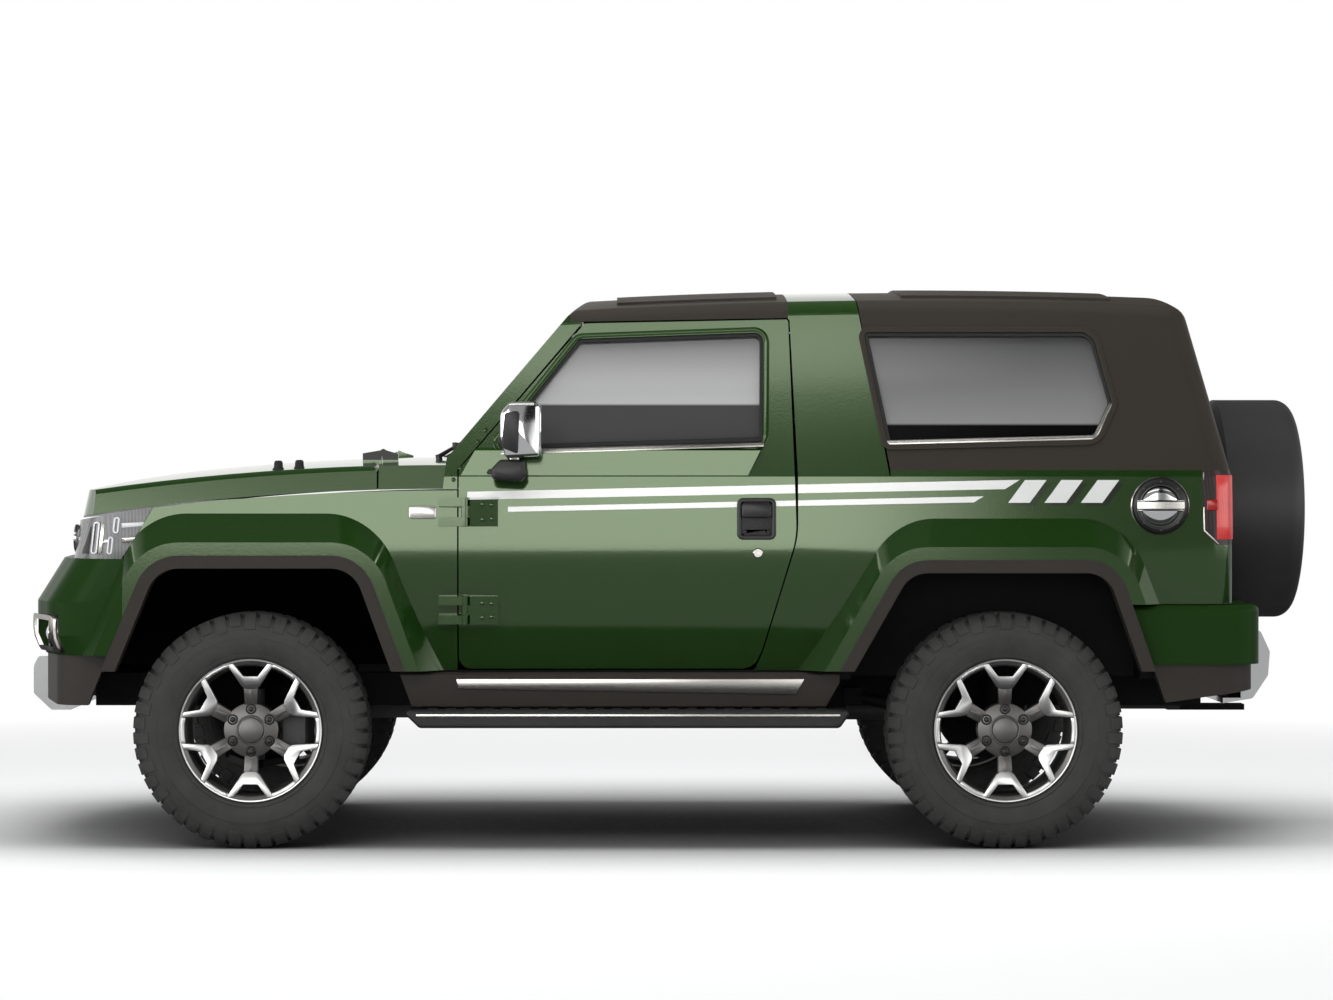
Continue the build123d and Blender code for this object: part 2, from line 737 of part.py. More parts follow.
with BuildPart() as rear_quarters:
    add(cabin_shell.part)
    add(flares[1])
    extrude(outline(quarter_points, (0, 300, 90, 0, 0, 0, 0, 0, 0, 0)), amount=far, mode=Mode.INTERSECT)
    inside = arch_outline(arches[1], lip_width, lip_width, sill_z - 100.0, Plane.XZ)
    extrude(inside, amount=far, mode=Mode.SUBTRACT)
    back = outline(tailgate_hole, 0.0, Plane.YZ.offset(tail_x - 330.0))
    extrude(back, amount=500.0, mode=Mode.SUBTRACT)
    add(lamp_room.part, mode=Mode.SUBTRACT)
    mirror(about=Plane.XZ)
    for hinge in gate_hinges:
        span = hinge["high_z"] - hinge["low_z"]
        clear = knuckle_share * span - 4.0
        with BuildSketch(Plane.XY.offset(hinge["low_z"])) as pin:
            with Locations((tailgate_axis_x, tailgate_axis_y)):
                Circle(hinge_pin_radius)
        extrude(pin.sketch, amount=span)
        for base_z in (hinge["low_z"], hinge["high_z"] - clear):
            with BuildSketch(Plane.XY.offset(base_z)) as ear:
                with BuildLine():
                    Polyline(
                        (tailgate_axis_x - 4.0, tailgate_axis_y),
                        (tailgate_axis_x + 8.0, tailgate_axis_y),
                        (tailgate_axis_x + 8.0, tailgate_half + 44.0),
                        (tail_x - 12.0, tailgate_half + 44.0),
                        (tail_x - 12.0, tailgate_half + gap),
                        (tail_x + 2.0, tailgate_half + gap),
                        close=True,
                    )
                make_face()
                with Locations((tailgate_axis_x, tailgate_axis_y)):
                    Circle(hinge_barrel_radius - 1.0)
            extrude(ear.sketch, amount=clear)
rear_quarters.part.label = "rear_quarters"
export_step(rear_quarters.part, "parts/rear_quarters.step")

with BuildPart() as tail_lamps:
    add(cabin_shell.part)
    add(lamp_room.part, mode=Mode.INTERSECT)
tail_lamps.part.label = "tail_lamps"
export_step(tail_lamps.part, "parts/tail_lamps.step")

# Arch lips
with BuildPart() as arch_lips:
    for arch in arches:
        lip = arch_outline(arch, lip_width, lip_width, sill_z, Plane.XZ.offset(body_half - 20.0), 1.5)
        extrude(lip, amount=lip_half - body_half + 20.0)
    for arch in arches:
        extrude(arch_outline(arch, 0.0, 0.0, sill_z - 100.0, Plane.XZ), amount=far, mode=Mode.SUBTRACT)
    mirror(about=Plane.XZ)
arch_lips.part.label = "arch_lips"
export_step(arch_lips.part, "parts/arch_lips.step")

# Hood, cowl and the nose behind the bumper
hood_axis = Axis((hood_arc_x, 0, hood_edge_z - hood_arc), (0, 1, 0))


def hood_block(inset, from_x, to_x, low):
    start = asin((from_x - hood_arc_x) / hood_arc)
    stop = asin((to_x - hood_arc_x) / hood_arc)
    plane = Plane(origin=hood_axis.position, x_dir=(0, 1, 0), z_dir=(cos(start), 0, -sin(start)))
    edge = hood_arc + hood_side_rise - inset
    with BuildPart() as block:
        with BuildSketch(plane) as section:
            with BuildLine():
                bow = ThreePointArc(
                    (-hood_top_half + inset, edge),
                    (0, hood_arc + hood_rise - inset),
                    (hood_top_half - inset, edge),
                )
                Polyline(
                    bow @ 1,
                    (hood_half - inset, hood_arc - low),
                    (-hood_half + inset, hood_arc - low),
                    bow @ 0,
                )
            make_face()
        revolve(section.sketch, axis=hood_axis, revolution_arc=degrees(stop - start))
    return block.part


nose_points = (
    (cowl_x + 100.0, -body_half + 4.0),
    (nose_x + 138.0, -body_half + 16.0),
    (nose_x + 68.0, -body_half + 162.0),
    (nose_x, -200.0),
    (nose_x, 200.0),
    (nose_x + 68.0, body_half - 162.0),
    (nose_x + 138.0, body_half - 16.0),
    (cowl_x + 100.0, body_half - 4.0),
)
nose_radii = (0, 120, 260, 900, 900, 260, 120, 0)


def nose(inset, low_z, high_z, lean=0.0):
    levels = []
    for level_z in (low_z, high_z):
        shift = lean * (level_z - bumper_top_z)
        with BuildSketch(Plane.XY.offset(level_z)) as plan:
            with BuildLine():
                FilletPolyline(*[(x + shift, y) for x, y in nose_points], radius=nose_radii, close=True)
            make_face()
            if inset:
                offset(amount=-inset)
        levels.append(plan.sketch)
    with BuildPart() as block:
        loft(levels, ruled=True)
    return block.part


nose_block = nose(0, 900.0, 1400.0, hood_lean)
with BuildPart() as hood:
    add(hood_block(0, nose_x - 60.0, cowl_x - gap, 0))
    add(nose_block, mode=Mode.INTERSECT)
    sides = [e for e in hood.edges() if e.length > 700 and e.center().Z > 1170]
    fillet(sides, 24.0)
    with BuildSketch(Plane.XZ) as above:
        with BuildLine():
            drop_x = nose_x + hood_drop
            top = (drop_x, hood_edge(drop_x) + hood_rise)
            crown = ThreePointArc(top, (nose_x + 250.0, 1197.0), (nose_x + hood_brow, 1148.0))
            brow = TangentArc(crown @ 1, (nose_x - 6.0, hood_lip_z), tangent=crown % 1)
            Polyline(brow @ 1, (nose_x - 200.0, hood_lip_z), (nose_x - 200.0, high), (drop_x, high), top)
        make_face()
    extrude(above.sketch, amount=far, both=True, mode=Mode.SUBTRACT)
    add(hood_block(hood_shell, drop_x, cowl_x - gap - 30.0, hood_shell), mode=Mode.SUBTRACT)
    for side_y in (-480.0, 480.0):
        with BuildSketch(Plane.XZ.offset(-side_y - 20.0)) as strap:
            with BuildLine():
                Polyline(
                    (cowl_x, hood_axis_z - 6.0),
                    (cowl_x, hood_axis_z + 6.0),
                    (cowl_x - 70.0, hood_axis_z - 6.0),
                    (cowl_x - 70.0, 1225.0),
                    (cowl_x - gap - 1.0, 1225.0),
                    (cowl_x - gap - 1.0, hood_axis_z - 10.0),
                    close=True,
                )
            make_face()
            with Locations((cowl_x, hood_axis_z)):
                Circle(9.0)
                Circle(6.0 + bore_clearance, mode=Mode.SUBTRACT)
        extrude(strap.sketch, amount=40.0)
hood.part.label = "hood"
export_step(hood.part, "parts/hood.step")

with BuildPart() as cowl:
    add(hood_block(0, cowl_x, screen_base_x + 60.0, 0))
    add(hood_block(40.0, cowl_x - 60.0, screen_base_x + 80.0, 60.0), mode=Mode.SUBTRACT)
    cowl_side = (
        (cowl_x, 1100.0),
        (cowl_x, 1400.0),
        (screen_base_x + 60.0, 1400.0),
        (screen_base_x + 60.0, screen_base_z + 60.0 * screen_slope),
        (screen_base_x, screen_base_z),
        (screen_base_x - 12.0, hood_edge_z - 1.0),
        (screen_base_x - 12.0, 1100.0),
    )
    extrude(outline(cowl_side), amount=far, both=True, mode=Mode.INTERSECT)
    for side_y in (-480.0, 480.0):
        with BuildSketch(Plane.XZ.offset(-side_y - 20.0)) as pin:
            with Locations((cowl_x, hood_axis_z)):
                Circle(6.0)
        extrude(pin.sketch, amount=60.0)
        with BuildSketch(Plane.XZ.offset(-side_y + 22.0)) as ear:
            with BuildLine():
                Polyline(
                    (cowl_x - 6.0, hood_axis_z - 4.0),
                    (cowl_x, hood_axis_z + 7.0),
                    (cowl_x + 50.0, hood_axis_z - 8.0),
                    (cowl_x + 50.0, 1240.0),
                    (cowl_x + 1.0, 1240.0),
                    close=True,
                )
            make_face()
            with Locations((cowl_x, hood_axis_z)):
                Circle(9.0)
        extrude(ear.sketch, amount=18.0)
cowl.part.label = "cowl"
export_step(cowl.part, "parts/cowl.step")


def block(x0, x1, y0, y1, z0, z1, mode=Mode.ADD):
    with Locations(((x0 + x1) / 2, (y0 + y1) / 2, (z0 + z1) / 2)):
        Box(x1 - x0, y1 - y0, z1 - z0, mode=mode)


def rod(start, end, radius, mode=Mode.ADD):
    way = Vector(*end) - Vector(*start)
    with BuildSketch(Plane(origin=start, z_dir=way.normalized())) as ring:
        Circle(radius)
    extrude(ring.sketch, amount=way.length, mode=mode)


# Headlamps and the front panel with its grille slots
panel_half = 468.0
with BuildPart() as head_lamps:
    add(nose(0, 900.0, 1250.0, nose_lean))
    add(nose(110.0, 800.0, 1300.0, nose_lean), mode=Mode.SUBTRACT)
    extrude(outline(lamp_points), amount=far, both=True, mode=Mode.INTERSECT)
    block(nose_x - 100, nose_x + 400, -panel_half, panel_half, 800.0, 1200.0, Mode.SUBTRACT)
head_lamps.part.label = "head_lamps"
export_step(head_lamps.part, "parts/head_lamps.step")

panel_top_z = hood_edge(nose_x) - gap
slot_count = 4
slot_height = 19.0
with BuildPart() as front_panel:
    add(nose(0, bumper_top_z, panel_top_z, nose_lean))
    add(nose(70.0, bumper_top_z - 10.0, panel_top_z + 10.0, nose_lean), mode=Mode.SUBTRACT)
    side_room = nose_x - 100
    block(nose_x + 160.0, 0, -far, far, 800.0, 1200.0, Mode.SUBTRACT)
    block(side_room, 0, panel_half, far, 800.0, 1200.0, Mode.SUBTRACT)
    block(side_room, 0, -far, -panel_half, 800.0, 1200.0, Mode.SUBTRACT)
    slot_pitch = (panel_top_z - bumper_top_z - 12.0) / slot_count
    for number in range(slot_count):
        low = bumper_top_z + 12.0 + number * slot_pitch
        block(side_room, 0, -panel_half + 30, panel_half - 30, low, low + slot_height, Mode.SUBTRACT)
front_panel.part.label = "front_panel"
export_step(front_panel.part, "parts/front_panel.step")

# Front bumper with the fore part of the front flares
bumper_radii = (0, 150, 400, 900, 900, 400, 150, 0)
bumper_levels = (
    (bumper_low_z, 27.0),
    (bumper_low_z + 63.0, 0.0),
    (bumper_low_z + 173.0, 0.0),
    (bumper_top_z, 88.0),
)
fog_low_z = bumper_low_z + 4.0
fog_high_z = bumper_low_z + 130.0
fog_inner_half = bumper_half - 300.0
fog_outer_half = bumper_half - 40.0


def bumper_plan(level_z, setback=0.0, inset=0.0):
    front = front_bumper_x + setback
    points = (
        (fender_front_x, -bumper_half),
        (front + 118.0, -bumper_half + 12.0),
        (front + 30.0, -bumper_half + 240.0),
        (front, -240.0),
        (front, 240.0),
        (front + 30.0, bumper_half - 240.0),
        (front + 118.0, bumper_half - 12.0),
        (fender_front_x, bumper_half),
    )
    with BuildSketch(Plane.XY.offset(level_z)) as plan:
        with BuildLine():
            FilletPolyline(*points, radius=bumper_radii, close=True)
        make_face()
        if inset:
            offset(amount=-inset)
    return plan.sketch


fore = (
    (fender_front_x, bumper_low_z),
    (fender_front_x, bumper_top_z),
    (fender_front_x - 300.0, bumper_top_z),
    (fender_front_x - 300.0, bumper_low_z),
)
with BuildPart() as flare_fore:
    add(flares[0])
    extrude(outline(fore), amount=far, mode=Mode.INTERSECT)
    mirror(about=Plane.XZ)
with BuildPart() as fog_rooms:
    for side in (-1, 1):
        low_y, high_y = sorted((side * fog_inner_half, side * fog_outer_half))
        block(front_bumper_x - 50.0, front_bumper_x + 150.0, low_y, high_y, fog_low_z, fog_high_z)
with BuildPart() as front_bumper:
    loft([bumper_plan(level_z, setback) for level_z, setback in bumper_levels], ruled=True)
    hollow_height = bumper_top_z - bumper_plate - bumper_low_z
    extrude(bumper_plan(bumper_low_z - 10.0, 0.0, bumper_wall), amount=hollow_height, mode=Mode.SUBTRACT)
    room = bumper_half - bumper_wall
    block(fender_front_x - 90.0, fender_front_x + 90, -room, room, 500.0, 1100.0, Mode.SUBTRACT)
    add(flare_fore.part)
    inside = arch_outline(arches[0], lip_width, lip_width, sill_z - 100.0, Plane.XZ)
    extrude(inside, amount=far, both=True, mode=Mode.SUBTRACT)
    add(fog_rooms.part, mode=Mode.SUBTRACT)
front_bumper.part.label = "front_bumper"
export_step(front_bumper.part, "parts/front_bumper.step")

with BuildPart() as fog_lamps:
    extrude(bumper_plan(fog_low_z, 0.0, 34.0), amount=fog_high_z - fog_low_z)
    extrude(bumper_plan(fog_low_z - 1.0, 0.0, 64.0), amount=fog_high_z - fog_low_z + 2.0, mode=Mode.SUBTRACT)
    add(fog_rooms.part, mode=Mode.INTERSECT)
fog_lamps.part.label = "fog_lamps"
export_step(fog_lamps.part, "parts/fog_lamps.step")

# Lower valances below both bumpers, dark, and the bright guards on them
rail_front_x = front_bumper_x + 192.0
rail_rear_x = tail_x - 42.0
front_valance_points = (
    (front_bumper_x + 314.0, -valance_half),
    (front_bumper_x + 130.0, -valance_half + 28.0),
    (front_bumper_x + 32.0, -420.0),
    (front_bumper_x + 32.0, 420.0),
    (front_bumper_x + 130.0, valance_half - 28.0),
    (front_bumper_x + 314.0, valance_half),
)
kick_start = 70.0
kick_rise = 68.0
rear_valance_points = (
    (rear_bumper_front_x, -valance_half),
    (rear_bumper_x - 40.0, -valance_half + 16.0),
    (rear_bumper_x - 12.0, -520.0),
    (rear_bumper_x - 12.0, 520.0),
    (rear_bumper_x - 40.0, valance_half - 16.0),
    (rear_bumper_front_x, valance_half),
)
with BuildPart() as valances:
    for points, top_z, end in (
        (front_valance_points, bumper_low_z, front_bumper_x + 314.0),
        (rear_valance_points, rear_bumper_low_z, rear_bumper_front_x),
    ):
        with BuildSketch(Plane.XY.offset(valance_low_z)) as plan:
            with BuildLine():
                FilletPolyline(*points, radius=(0, 110, 240, 240, 110, 0), close=True)
            make_face()
        extrude(plan.sketch, amount=top_z - valance_low_z)
        with BuildSketch(Plane.XY.offset(valance_low_z - 10.0)) as hollow:
            with BuildLine():
                FilletPolyline(*points, radius=(0, 110, 240, 240, 110, 0), close=True)
            make_face()
            offset(amount=-valance_wall)
        extrude(hollow.sketch, amount=top_z, mode=Mode.SUBTRACT)
        room = valance_half - valance_wall
        block(end - 75, end + 75, -room, room, 300.0, 800.0, Mode.SUBTRACT)
    kick_low = (
        (rear_bumper_front_x + kick_start, valance_low_z),
        (rear_bumper_x + 100.0, valance_low_z + kick_rise),
        (rear_bumper_x + 100.0, valance_low_z - 50.0),
        (rear_bumper_front_x + kick_start, valance_low_z - 50.0),
    )
    extrude(outline(kick_low), amount=far, both=True, mode=Mode.SUBTRACT)
    for arch in arches:
        cutter = arch_outline(arch, lip_width + seam, lip_width + seam, 300.0, Plane.XZ)
        extrude(cutter, amount=far, both=True, mode=Mode.SUBTRACT)
    for side in (-1, 1):
        low_y, high_y = sorted((side * (rail_half - rail_width), side * rail_half))
        block(front_bumper_x + 70, rail_front_x, low_y, high_y, valance_low_z + 6, floor_low_z)
        block(rail_rear_x, rear_bumper_x - 50, low_y, high_y, valance_low_z + 6, floor_low_z)
valances.part.label = "valances"
export_step(valances.part, "parts/valances.step")

guard_front_x = front_bumper_x + 32.0
guard_rear_x = rear_bumper_x - 12.0
front_guard = (
    (guard_front_x, 600.0),
    (guard_front_x - 44.0, 600.0),
    (tip_x, 566.0),
    (tip_x, 474.0),
    (guard_front_x, 418.0),
    (guard_front_x + 66.0, 418.0),
    (guard_front_x + 66.0, valance_low_z),
    (guard_front_x, valance_low_z),
)
rear_guard = (
    (guard_rear_x, 560.0),
    (guard_rear_x + 30.0, 560.0),
    (guard_rear_x + 30.0, 690.0),
    (guard_rear_x + 66.0, 690.0),
    (guard_rear_x + 98.0, 620.0),
    (guard_rear_x + 92.0, 540.0),
    (guard_rear_x + 40.0, 462.0),
    (guard_rear_x - 60.0, 446.0),
    (guard_rear_x - 60.0, valance_low_z),
    (guard_rear_x, valance_low_z),
)
with BuildPart() as guards:
    extrude(outline(front_guard, (0, 12, 18, 18, 12, 0, 0, 0)), amount=330.0, both=True)
    extrude(outline(rear_guard, (0, 0, 8, 14, 18, 18, 18, 0, 0, 0)), amount=430.0, both=True)
guards.part.label = "guards"
export_step(guards.part, "parts/guards.step")

# Rear bumper
rear_points = (
    (rear_bumper_front_x, -bumper_half),
    (rear_bumper_x - 16.0, -bumper_half + 10.0),
    (rear_bumper_x, -500.0),
    (rear_bumper_x, 500.0),
    (rear_bumper_x - 16.0, bumper_half - 10.0),
    (rear_bumper_front_x, bumper_half),
)
rear_radii = (0, 90, 400, 400, 90, 0)
with BuildPart() as rear_bumper:
    with BuildSketch(Plane.XY.offset(rear_bumper_low_z)) as plan:
        with BuildLine():
            FilletPolyline(*rear_points, radius=rear_radii, close=True)
        make_face()
    extrude(plan.sketch, amount=rear_bumper_top_z - rear_bumper_low_z)
    brims = rear_bumper.faces().sort_by(Axis.Z)[-1].edges()
    fillet(brims.filter_by(lambda e: e.center().X > rear_bumper_front_x + 1), 20.0)
    with BuildSketch(Plane.XY.offset(rear_bumper_low_z - 10.0)) as hollow:
        with BuildLine():
            FilletPolyline(*rear_points, radius=rear_radii, close=True)
        make_face()
        offset(amount=-rear_bumper_wall)
    extrude(hollow.sketch, amount=300.0, mode=Mode.SUBTRACT)
    room = bumper_half - rear_bumper_wall
    block(rear_bumper_front_x - 10, rear_bumper_front_x + 120.0, -room, room, 500.0, 900.0, Mode.SUBTRACT)
    well = spare_radius + 54.0
    block(tail_x - 100.0, end_x, -well, well, spare_z - spare_radius - 12.0, 900.0, Mode.SUBTRACT)
    cutter = arch_outline(arches[1], lip_width, lip_width, 300.0, Plane.XZ)
    extrude(cutter, amount=far, both=True, mode=Mode.SUBTRACT)
rear_bumper.part.label = "rear_bumper"
export_step(rear_bumper.part, "parts/rear_bumper.step")

# Sills and side steps
sill_low_z = 461.0
step_low_z = 394.0
step_top_z = 452.0
step_front_x = door_front_x - 185.0
step_rear_x = door_rear_x + 177.0
with BuildPart() as sills:
    sill_section = outline(
        (
            (-(sill_half + 34.0), sill_z - 14.0),
            (-(sill_half + 28.0), sill_low_z),
            (-(sill_half - 90.0), sill_low_z),
            (-(sill_half - 90.0), floor_low_z),
            (-(sill_half - 6.0), floor_low_z),
            (-(sill_half - 6.0), sill_z - 7.0),
            (-(sill_half + 26.0), sill_z - 7.0),
        ),
        0.0,
        Plane.YZ.offset(step_front_x - 12.0),
    )
    extrude(sill_section, amount=step_rear_x - step_front_x - 26.0)
    for arch in arches:
        extrude(arch_outline(arch, 20.0, 20.0, 300.0, Plane.XZ), amount=far, mode=Mode.SUBTRACT)
    mirror(about=Plane.XZ)
sills.part.label = "sills"
export_step(sills.part, "parts/sills.step")

with BuildPart() as side_steps:
    step_face = outline(
        (
            (step_front_x, step_top_z),
            (step_front_x + 60.0, step_low_z),
            (step_rear_x - 40.0, step_low_z),
            (step_rear_x, step_top_z),
        ),
        (12, 20, 20, 12),
        Plane.XZ.offset(step_half - 170.0),
    )
    extrude(step_face, amount=170.0)
    fillet(side_steps.faces().sort_by(Axis.Y)[0].edges(), 10.0)
    for arm_x in (step_front_x + 260.0, step_rear_x - 260.0):
        block(arm_x - 25, arm_x + 25, -(step_half - 160.0), -rail_half, step_top_z - 15.0, step_top_z + 5.0)
        block(arm_x - 25, arm_x + 25, -(rail_half + 12.0), -rail_half, step_top_z - 15.0, step_top_z + 70.0)
    mirror(about=Plane.XZ)
side_steps.part.label = "side_steps"
export_step(side_steps.part, "parts/side_steps.step")

# Floor with firewall, tail panel and rear wheel housings
wheel_room_half = 604.0
floor_half = sill_half - 6.0
firewall_x = screen_base_x - 60.0
with BuildPart() as floor_pan:
    block(firewall_x, tail_x - 12.0, -floor_half, floor_half, floor_low_z, sill_z)
    wall_half = fender_inner_half - 4.0
    block(firewall_x, firewall_x + 24.0, -wall_half, wall_half, sill_z, hood_edge_z - 20.0)
    tail_half = tailgate_half - 2.0
    block(tail_x - 60.0, tail_x - 8.0, -tail_half, tail_half, sill_z, tailgate_low_z - gap)
    for side in (-1, 1):
        low_y, high_y = sorted((side * (wheel_room_half - 6.0), side * (sill_half - wall - 3.0)))
        block(rear_axle_x - 506.0, rear_axle_x + 456.0, low_y, high_y, sill_z, 956.0)
    for side in (-1, 1):
        low_y, high_y = sorted((side * wheel_room_half, side * far))
        block(rear_axle_x - 500.0, rear_axle_x + 450.0, low_y, high_y, 400.0, 950.0, Mode.SUBTRACT)
        low_y, high_y = sorted((side * (bumper_half - rear_bumper_wall - gap), side * far))
        block(rear_axle_x + 450.0, tail_x, low_y, high_y, 400.0, 800.0, Mode.SUBTRACT)
floor_pan.part.label = "floor_pan"
export_step(floor_pan.part, "parts/floor_pan.step")

# Front wheel housings
liner_inner_half = rail_half + 8.0
liner_outer_half = flare_root_half - 4.0
with BuildPart() as wheel_liners:
    front_arch = arches[0]
    liner = arch_outline(front_arch, 54.0, 54.0, sill_z, Plane.XZ.offset(liner_inner_half))
    extrude(liner, amount=liner_outer_half - liner_inner_half)
    inside = arch_outline(front_arch, 46.0, 46.0, sill_z - 50.0, Plane.XZ.offset(liner_inner_half + 8.0))
    extrude(inside, amount=far, mode=Mode.SUBTRACT)
    block(fender_front_x - seam, front_axle_x + 900.0, -far, -fender_inner_half, 400.0, 1100.0, Mode.SUBTRACT)
    notch_y = -liner_inner_half - 10.0
    block(front_axle_x - 66.0, front_axle_x + 66.0, notch_y, -rail_half, 400.0, 748.0, Mode.SUBTRACT)
    mirror(about=Plane.XZ)
wheel_liners.part.label = "wheel_liners"
export_step(wheel_liners.part, "parts/wheel_liners.step")

# Ladder frame
pad_height = 12.0
pad_size = 60.0
pad_places = (front_axle_x + 560.0, rear_axle_x - 520.0)
with BuildPart() as frame_rails:
    block(rail_front_x, rail_rear_x, -rail_half, -(rail_half - rail_width), rail_low_z, floor_low_z)
    for pad_x in pad_places:
        middle = rail_half - rail_width / 2
        block(pad_x - pad_size / 2, pad_x + pad_size / 2, -middle - pad_size / 2, -middle + pad_size / 2,
              rail_low_z - pad_height, rail_low_z)
    mirror(about=Plane.XZ)
frame_rails.part.label = "frame_rails"
export_step(frame_rails.part, "parts/frame_rails.step")

beam_low_z = 497.0
beam_places = (
    rail_front_x + 30.0,
    door_front_x + 970.0,
    door_front_x + 1330.0,
    rear_axle_x + 320.0,
    rail_rear_x - 30.0,
)
hitch_bore_radius = 13.0
hitch_x = rail_rear_x + 176.0
with BuildPart() as frame_beams:
    beam_half = rail_half - rail_width
    for beam_x in beam_places:
        block(beam_x - 30.0, beam_x + 30.0, -beam_half, beam_half, beam_low_z, floor_low_z)
    block(rail_rear_x - 60.0, rail_rear_x + 16.0, -40.0, 40.0, 400.0, beam_low_z)
    block(rail_rear_x - 60.0, hitch_x + 30.0, -40.0, 40.0, 400.0, 420.0)
    with BuildSketch(Plane.XY.offset(390.0)) as hitch_bore:
        with Locations((hitch_x, 0)):
            Circle(hitch_bore_radius)
    extrude(hitch_bore.sketch, amount=40.0, mode=Mode.SUBTRACT)
frame_beams.part.label = "frame_beams"
export_step(frame_beams.part, "parts/frame_beams.step")

# Engine block with gearbox and shaft, plain and solid
with BuildPart() as powertrain:
    block(front_axle_x - 145.0, firewall_x - 30.0, -250.0, 250.0, 560.0, 1060.0)
    block(front_axle_x + 85.0, front_axle_x + 155.0, -beam_half, beam_half, 485.0, 560.0)
    block(front_axle_x + 155.0, front_axle_x + 1135.0, -150.0, 150.0, 380.0, 546.0)
    block(front_axle_x + 300.0, firewall_x - 30.0, -150.0, 150.0, 540.0, 560.0)
    rod((front_axle_x + 1135.0, 0, 400.0), (rear_axle_x - 190.0, 0, 400.0), 36.0)
powertrain.part.label = "powertrain"
export_step(powertrain.part, "parts/powertrain.step")

with BuildPart() as exhaust:
    pipe_x = firewall_x - 90.0
    rod((pipe_x, -210.0, 463.0), (pipe_x, -210.0, 560.0), 26.0)
    rod((pipe_x - 26.0, -210.0, 463.0), (tail_x - 90.0, -210.0, 463.0), 25.0)
    with BuildSketch(Plane.YZ.offset(rear_axle_x + 370.0)) as muffler:
        with Locations((-215.0, 456.0)):
            RectangleRounded(200.0, 76.0, 36.0)
    extrude(muffler.sketch, amount=280.0)
exhaust.part.label = "exhaust"
export_step(exhaust.part, "parts/exhaust.step")

with BuildPart() as fuel_tank:
    tank_x = door_front_x + 970.0
    block(tank_x + 36.0, tank_x + 324.0, 70.0, beam_half, 330.0, floor_low_z)
    fillet(fuel_tank.edges().filter_by(Axis.X).sort_by(Axis.Z)[:2], 40.0)
fuel_tank.part.label = "fuel_tank"
export_step(fuel_tank.part, "parts/fuel_tank.step")

# Suspension
ball_low_z = axle_z - 110.0
ball_high_z = axle_z + 132.0
arm_thick = 22.0
joint_pin_radius = 12.0
with BuildPart() as front_suspension:
    block(front_axle_x - 130.0, front_axle_x + 110.0, -rail_half, rail_half, 262.0, rail_low_z)
    room = rail_half - 40.0
    block(front_axle_x - 100.0, front_axle_x + 80.0, -room, room, 290.0, rail_low_z, Mode.SUBTRACT)
    for side in (-1, 1):
        y1 = side * kingpin_y
        for top_z, spread_x, root in ((ball_low_z, 120.0, 6.0), (ball_high_z + arm_thick, 70.0, 0.0)):
            y0 = side * (rail_half - root)
            with BuildSketch(Plane.XY.offset(top_z - arm_thick)) as arm:
                with BuildLine():
                    Polyline(
                        (front_axle_x - spread_x, y0),
                        (front_axle_x + spread_x, y0),
                        (front_axle_x + 26.0, y1),
                        (front_axle_x - 26.0, y1),
                        close=True,
                    )
                make_face()
                with Locations((front_axle_x, y1)):
                    Circle(steer_boss_radius - 2.0)
            extrude(arm.sketch, amount=arm_thick)
        tower = sorted((side * rail_half, side * (rail_half + 36.0)))
        block(front_axle_x - 60.0, front_axle_x + 60.0, tower[0], tower[1], rail_low_z - 60.0, 740.0)
        strut_y = side * (rail_half + 92.0)
        rod((front_axle_x, strut_y, ball_low_z - 10.0), (front_axle_x, strut_y, 725.0), 42.0)
        shelf = sorted((side * rail_half, side * (rail_half + 140.0)))
        block(front_axle_x - 60.0, front_axle_x + 60.0, shelf[0], shelf[1], 725.0, 740.0)
    for side in (-1, 1):
        with BuildSketch(Plane.XY.offset(ball_low_z - 60.0)) as clear_bore:
            with Locations((front_axle_x, side * kingpin_y)):
                Circle(joint_pin_radius + bore_clearance)
        extrude(clear_bore.sketch, amount=500.0, mode=Mode.SUBTRACT)
front_suspension.part.label = "front_suspension"
export_step(front_suspension.part, "parts/front_suspension.step")

axle_tube_radius = 45.0
spindle_out = 48.0
with BuildPart() as rear_axle:
    tube_end = wheel_y - 66.0
    rod((rear_axle_x, -tube_end, axle_z), (rear_axle_x, tube_end, axle_z), axle_tube_radius)
    spindle_end = wheel_y + spindle_out
    rod((rear_axle_x, -spindle_end, axle_z), (rear_axle_x, spindle_end, axle_z), spindle_radius)
    rod((rear_axle_x, -85.0, axle_z), (rear_axle_x, 85.0, axle_z), 145.0)
    rod((rear_axle_x - 190.0, 0, axle_z + 17.0), (rear_axle_x - 60.0, 0, axle_z + 17.0), 62.0)
    for side in (-1, 1):
        rod((rear_axle_x, side * 520.0, axle_z), (rear_axle_x, side * 520.0, floor_low_z), 55.0)
        rod((rear_axle_x, side * 520.0, axle_z), (rear_axle_x - 470.0, side * 455.0, 470.0), 20.0)
        low_y, high_y = sorted((side * rail_half, side * 475.0))
        block(rear_axle_x - 500.0, rear_axle_x - 440.0, low_y, high_y, 445.0, 500.0)
rear_axle.part.label = "rear_axle"
export_step(rear_axle.part, "parts/rear_axle.step")

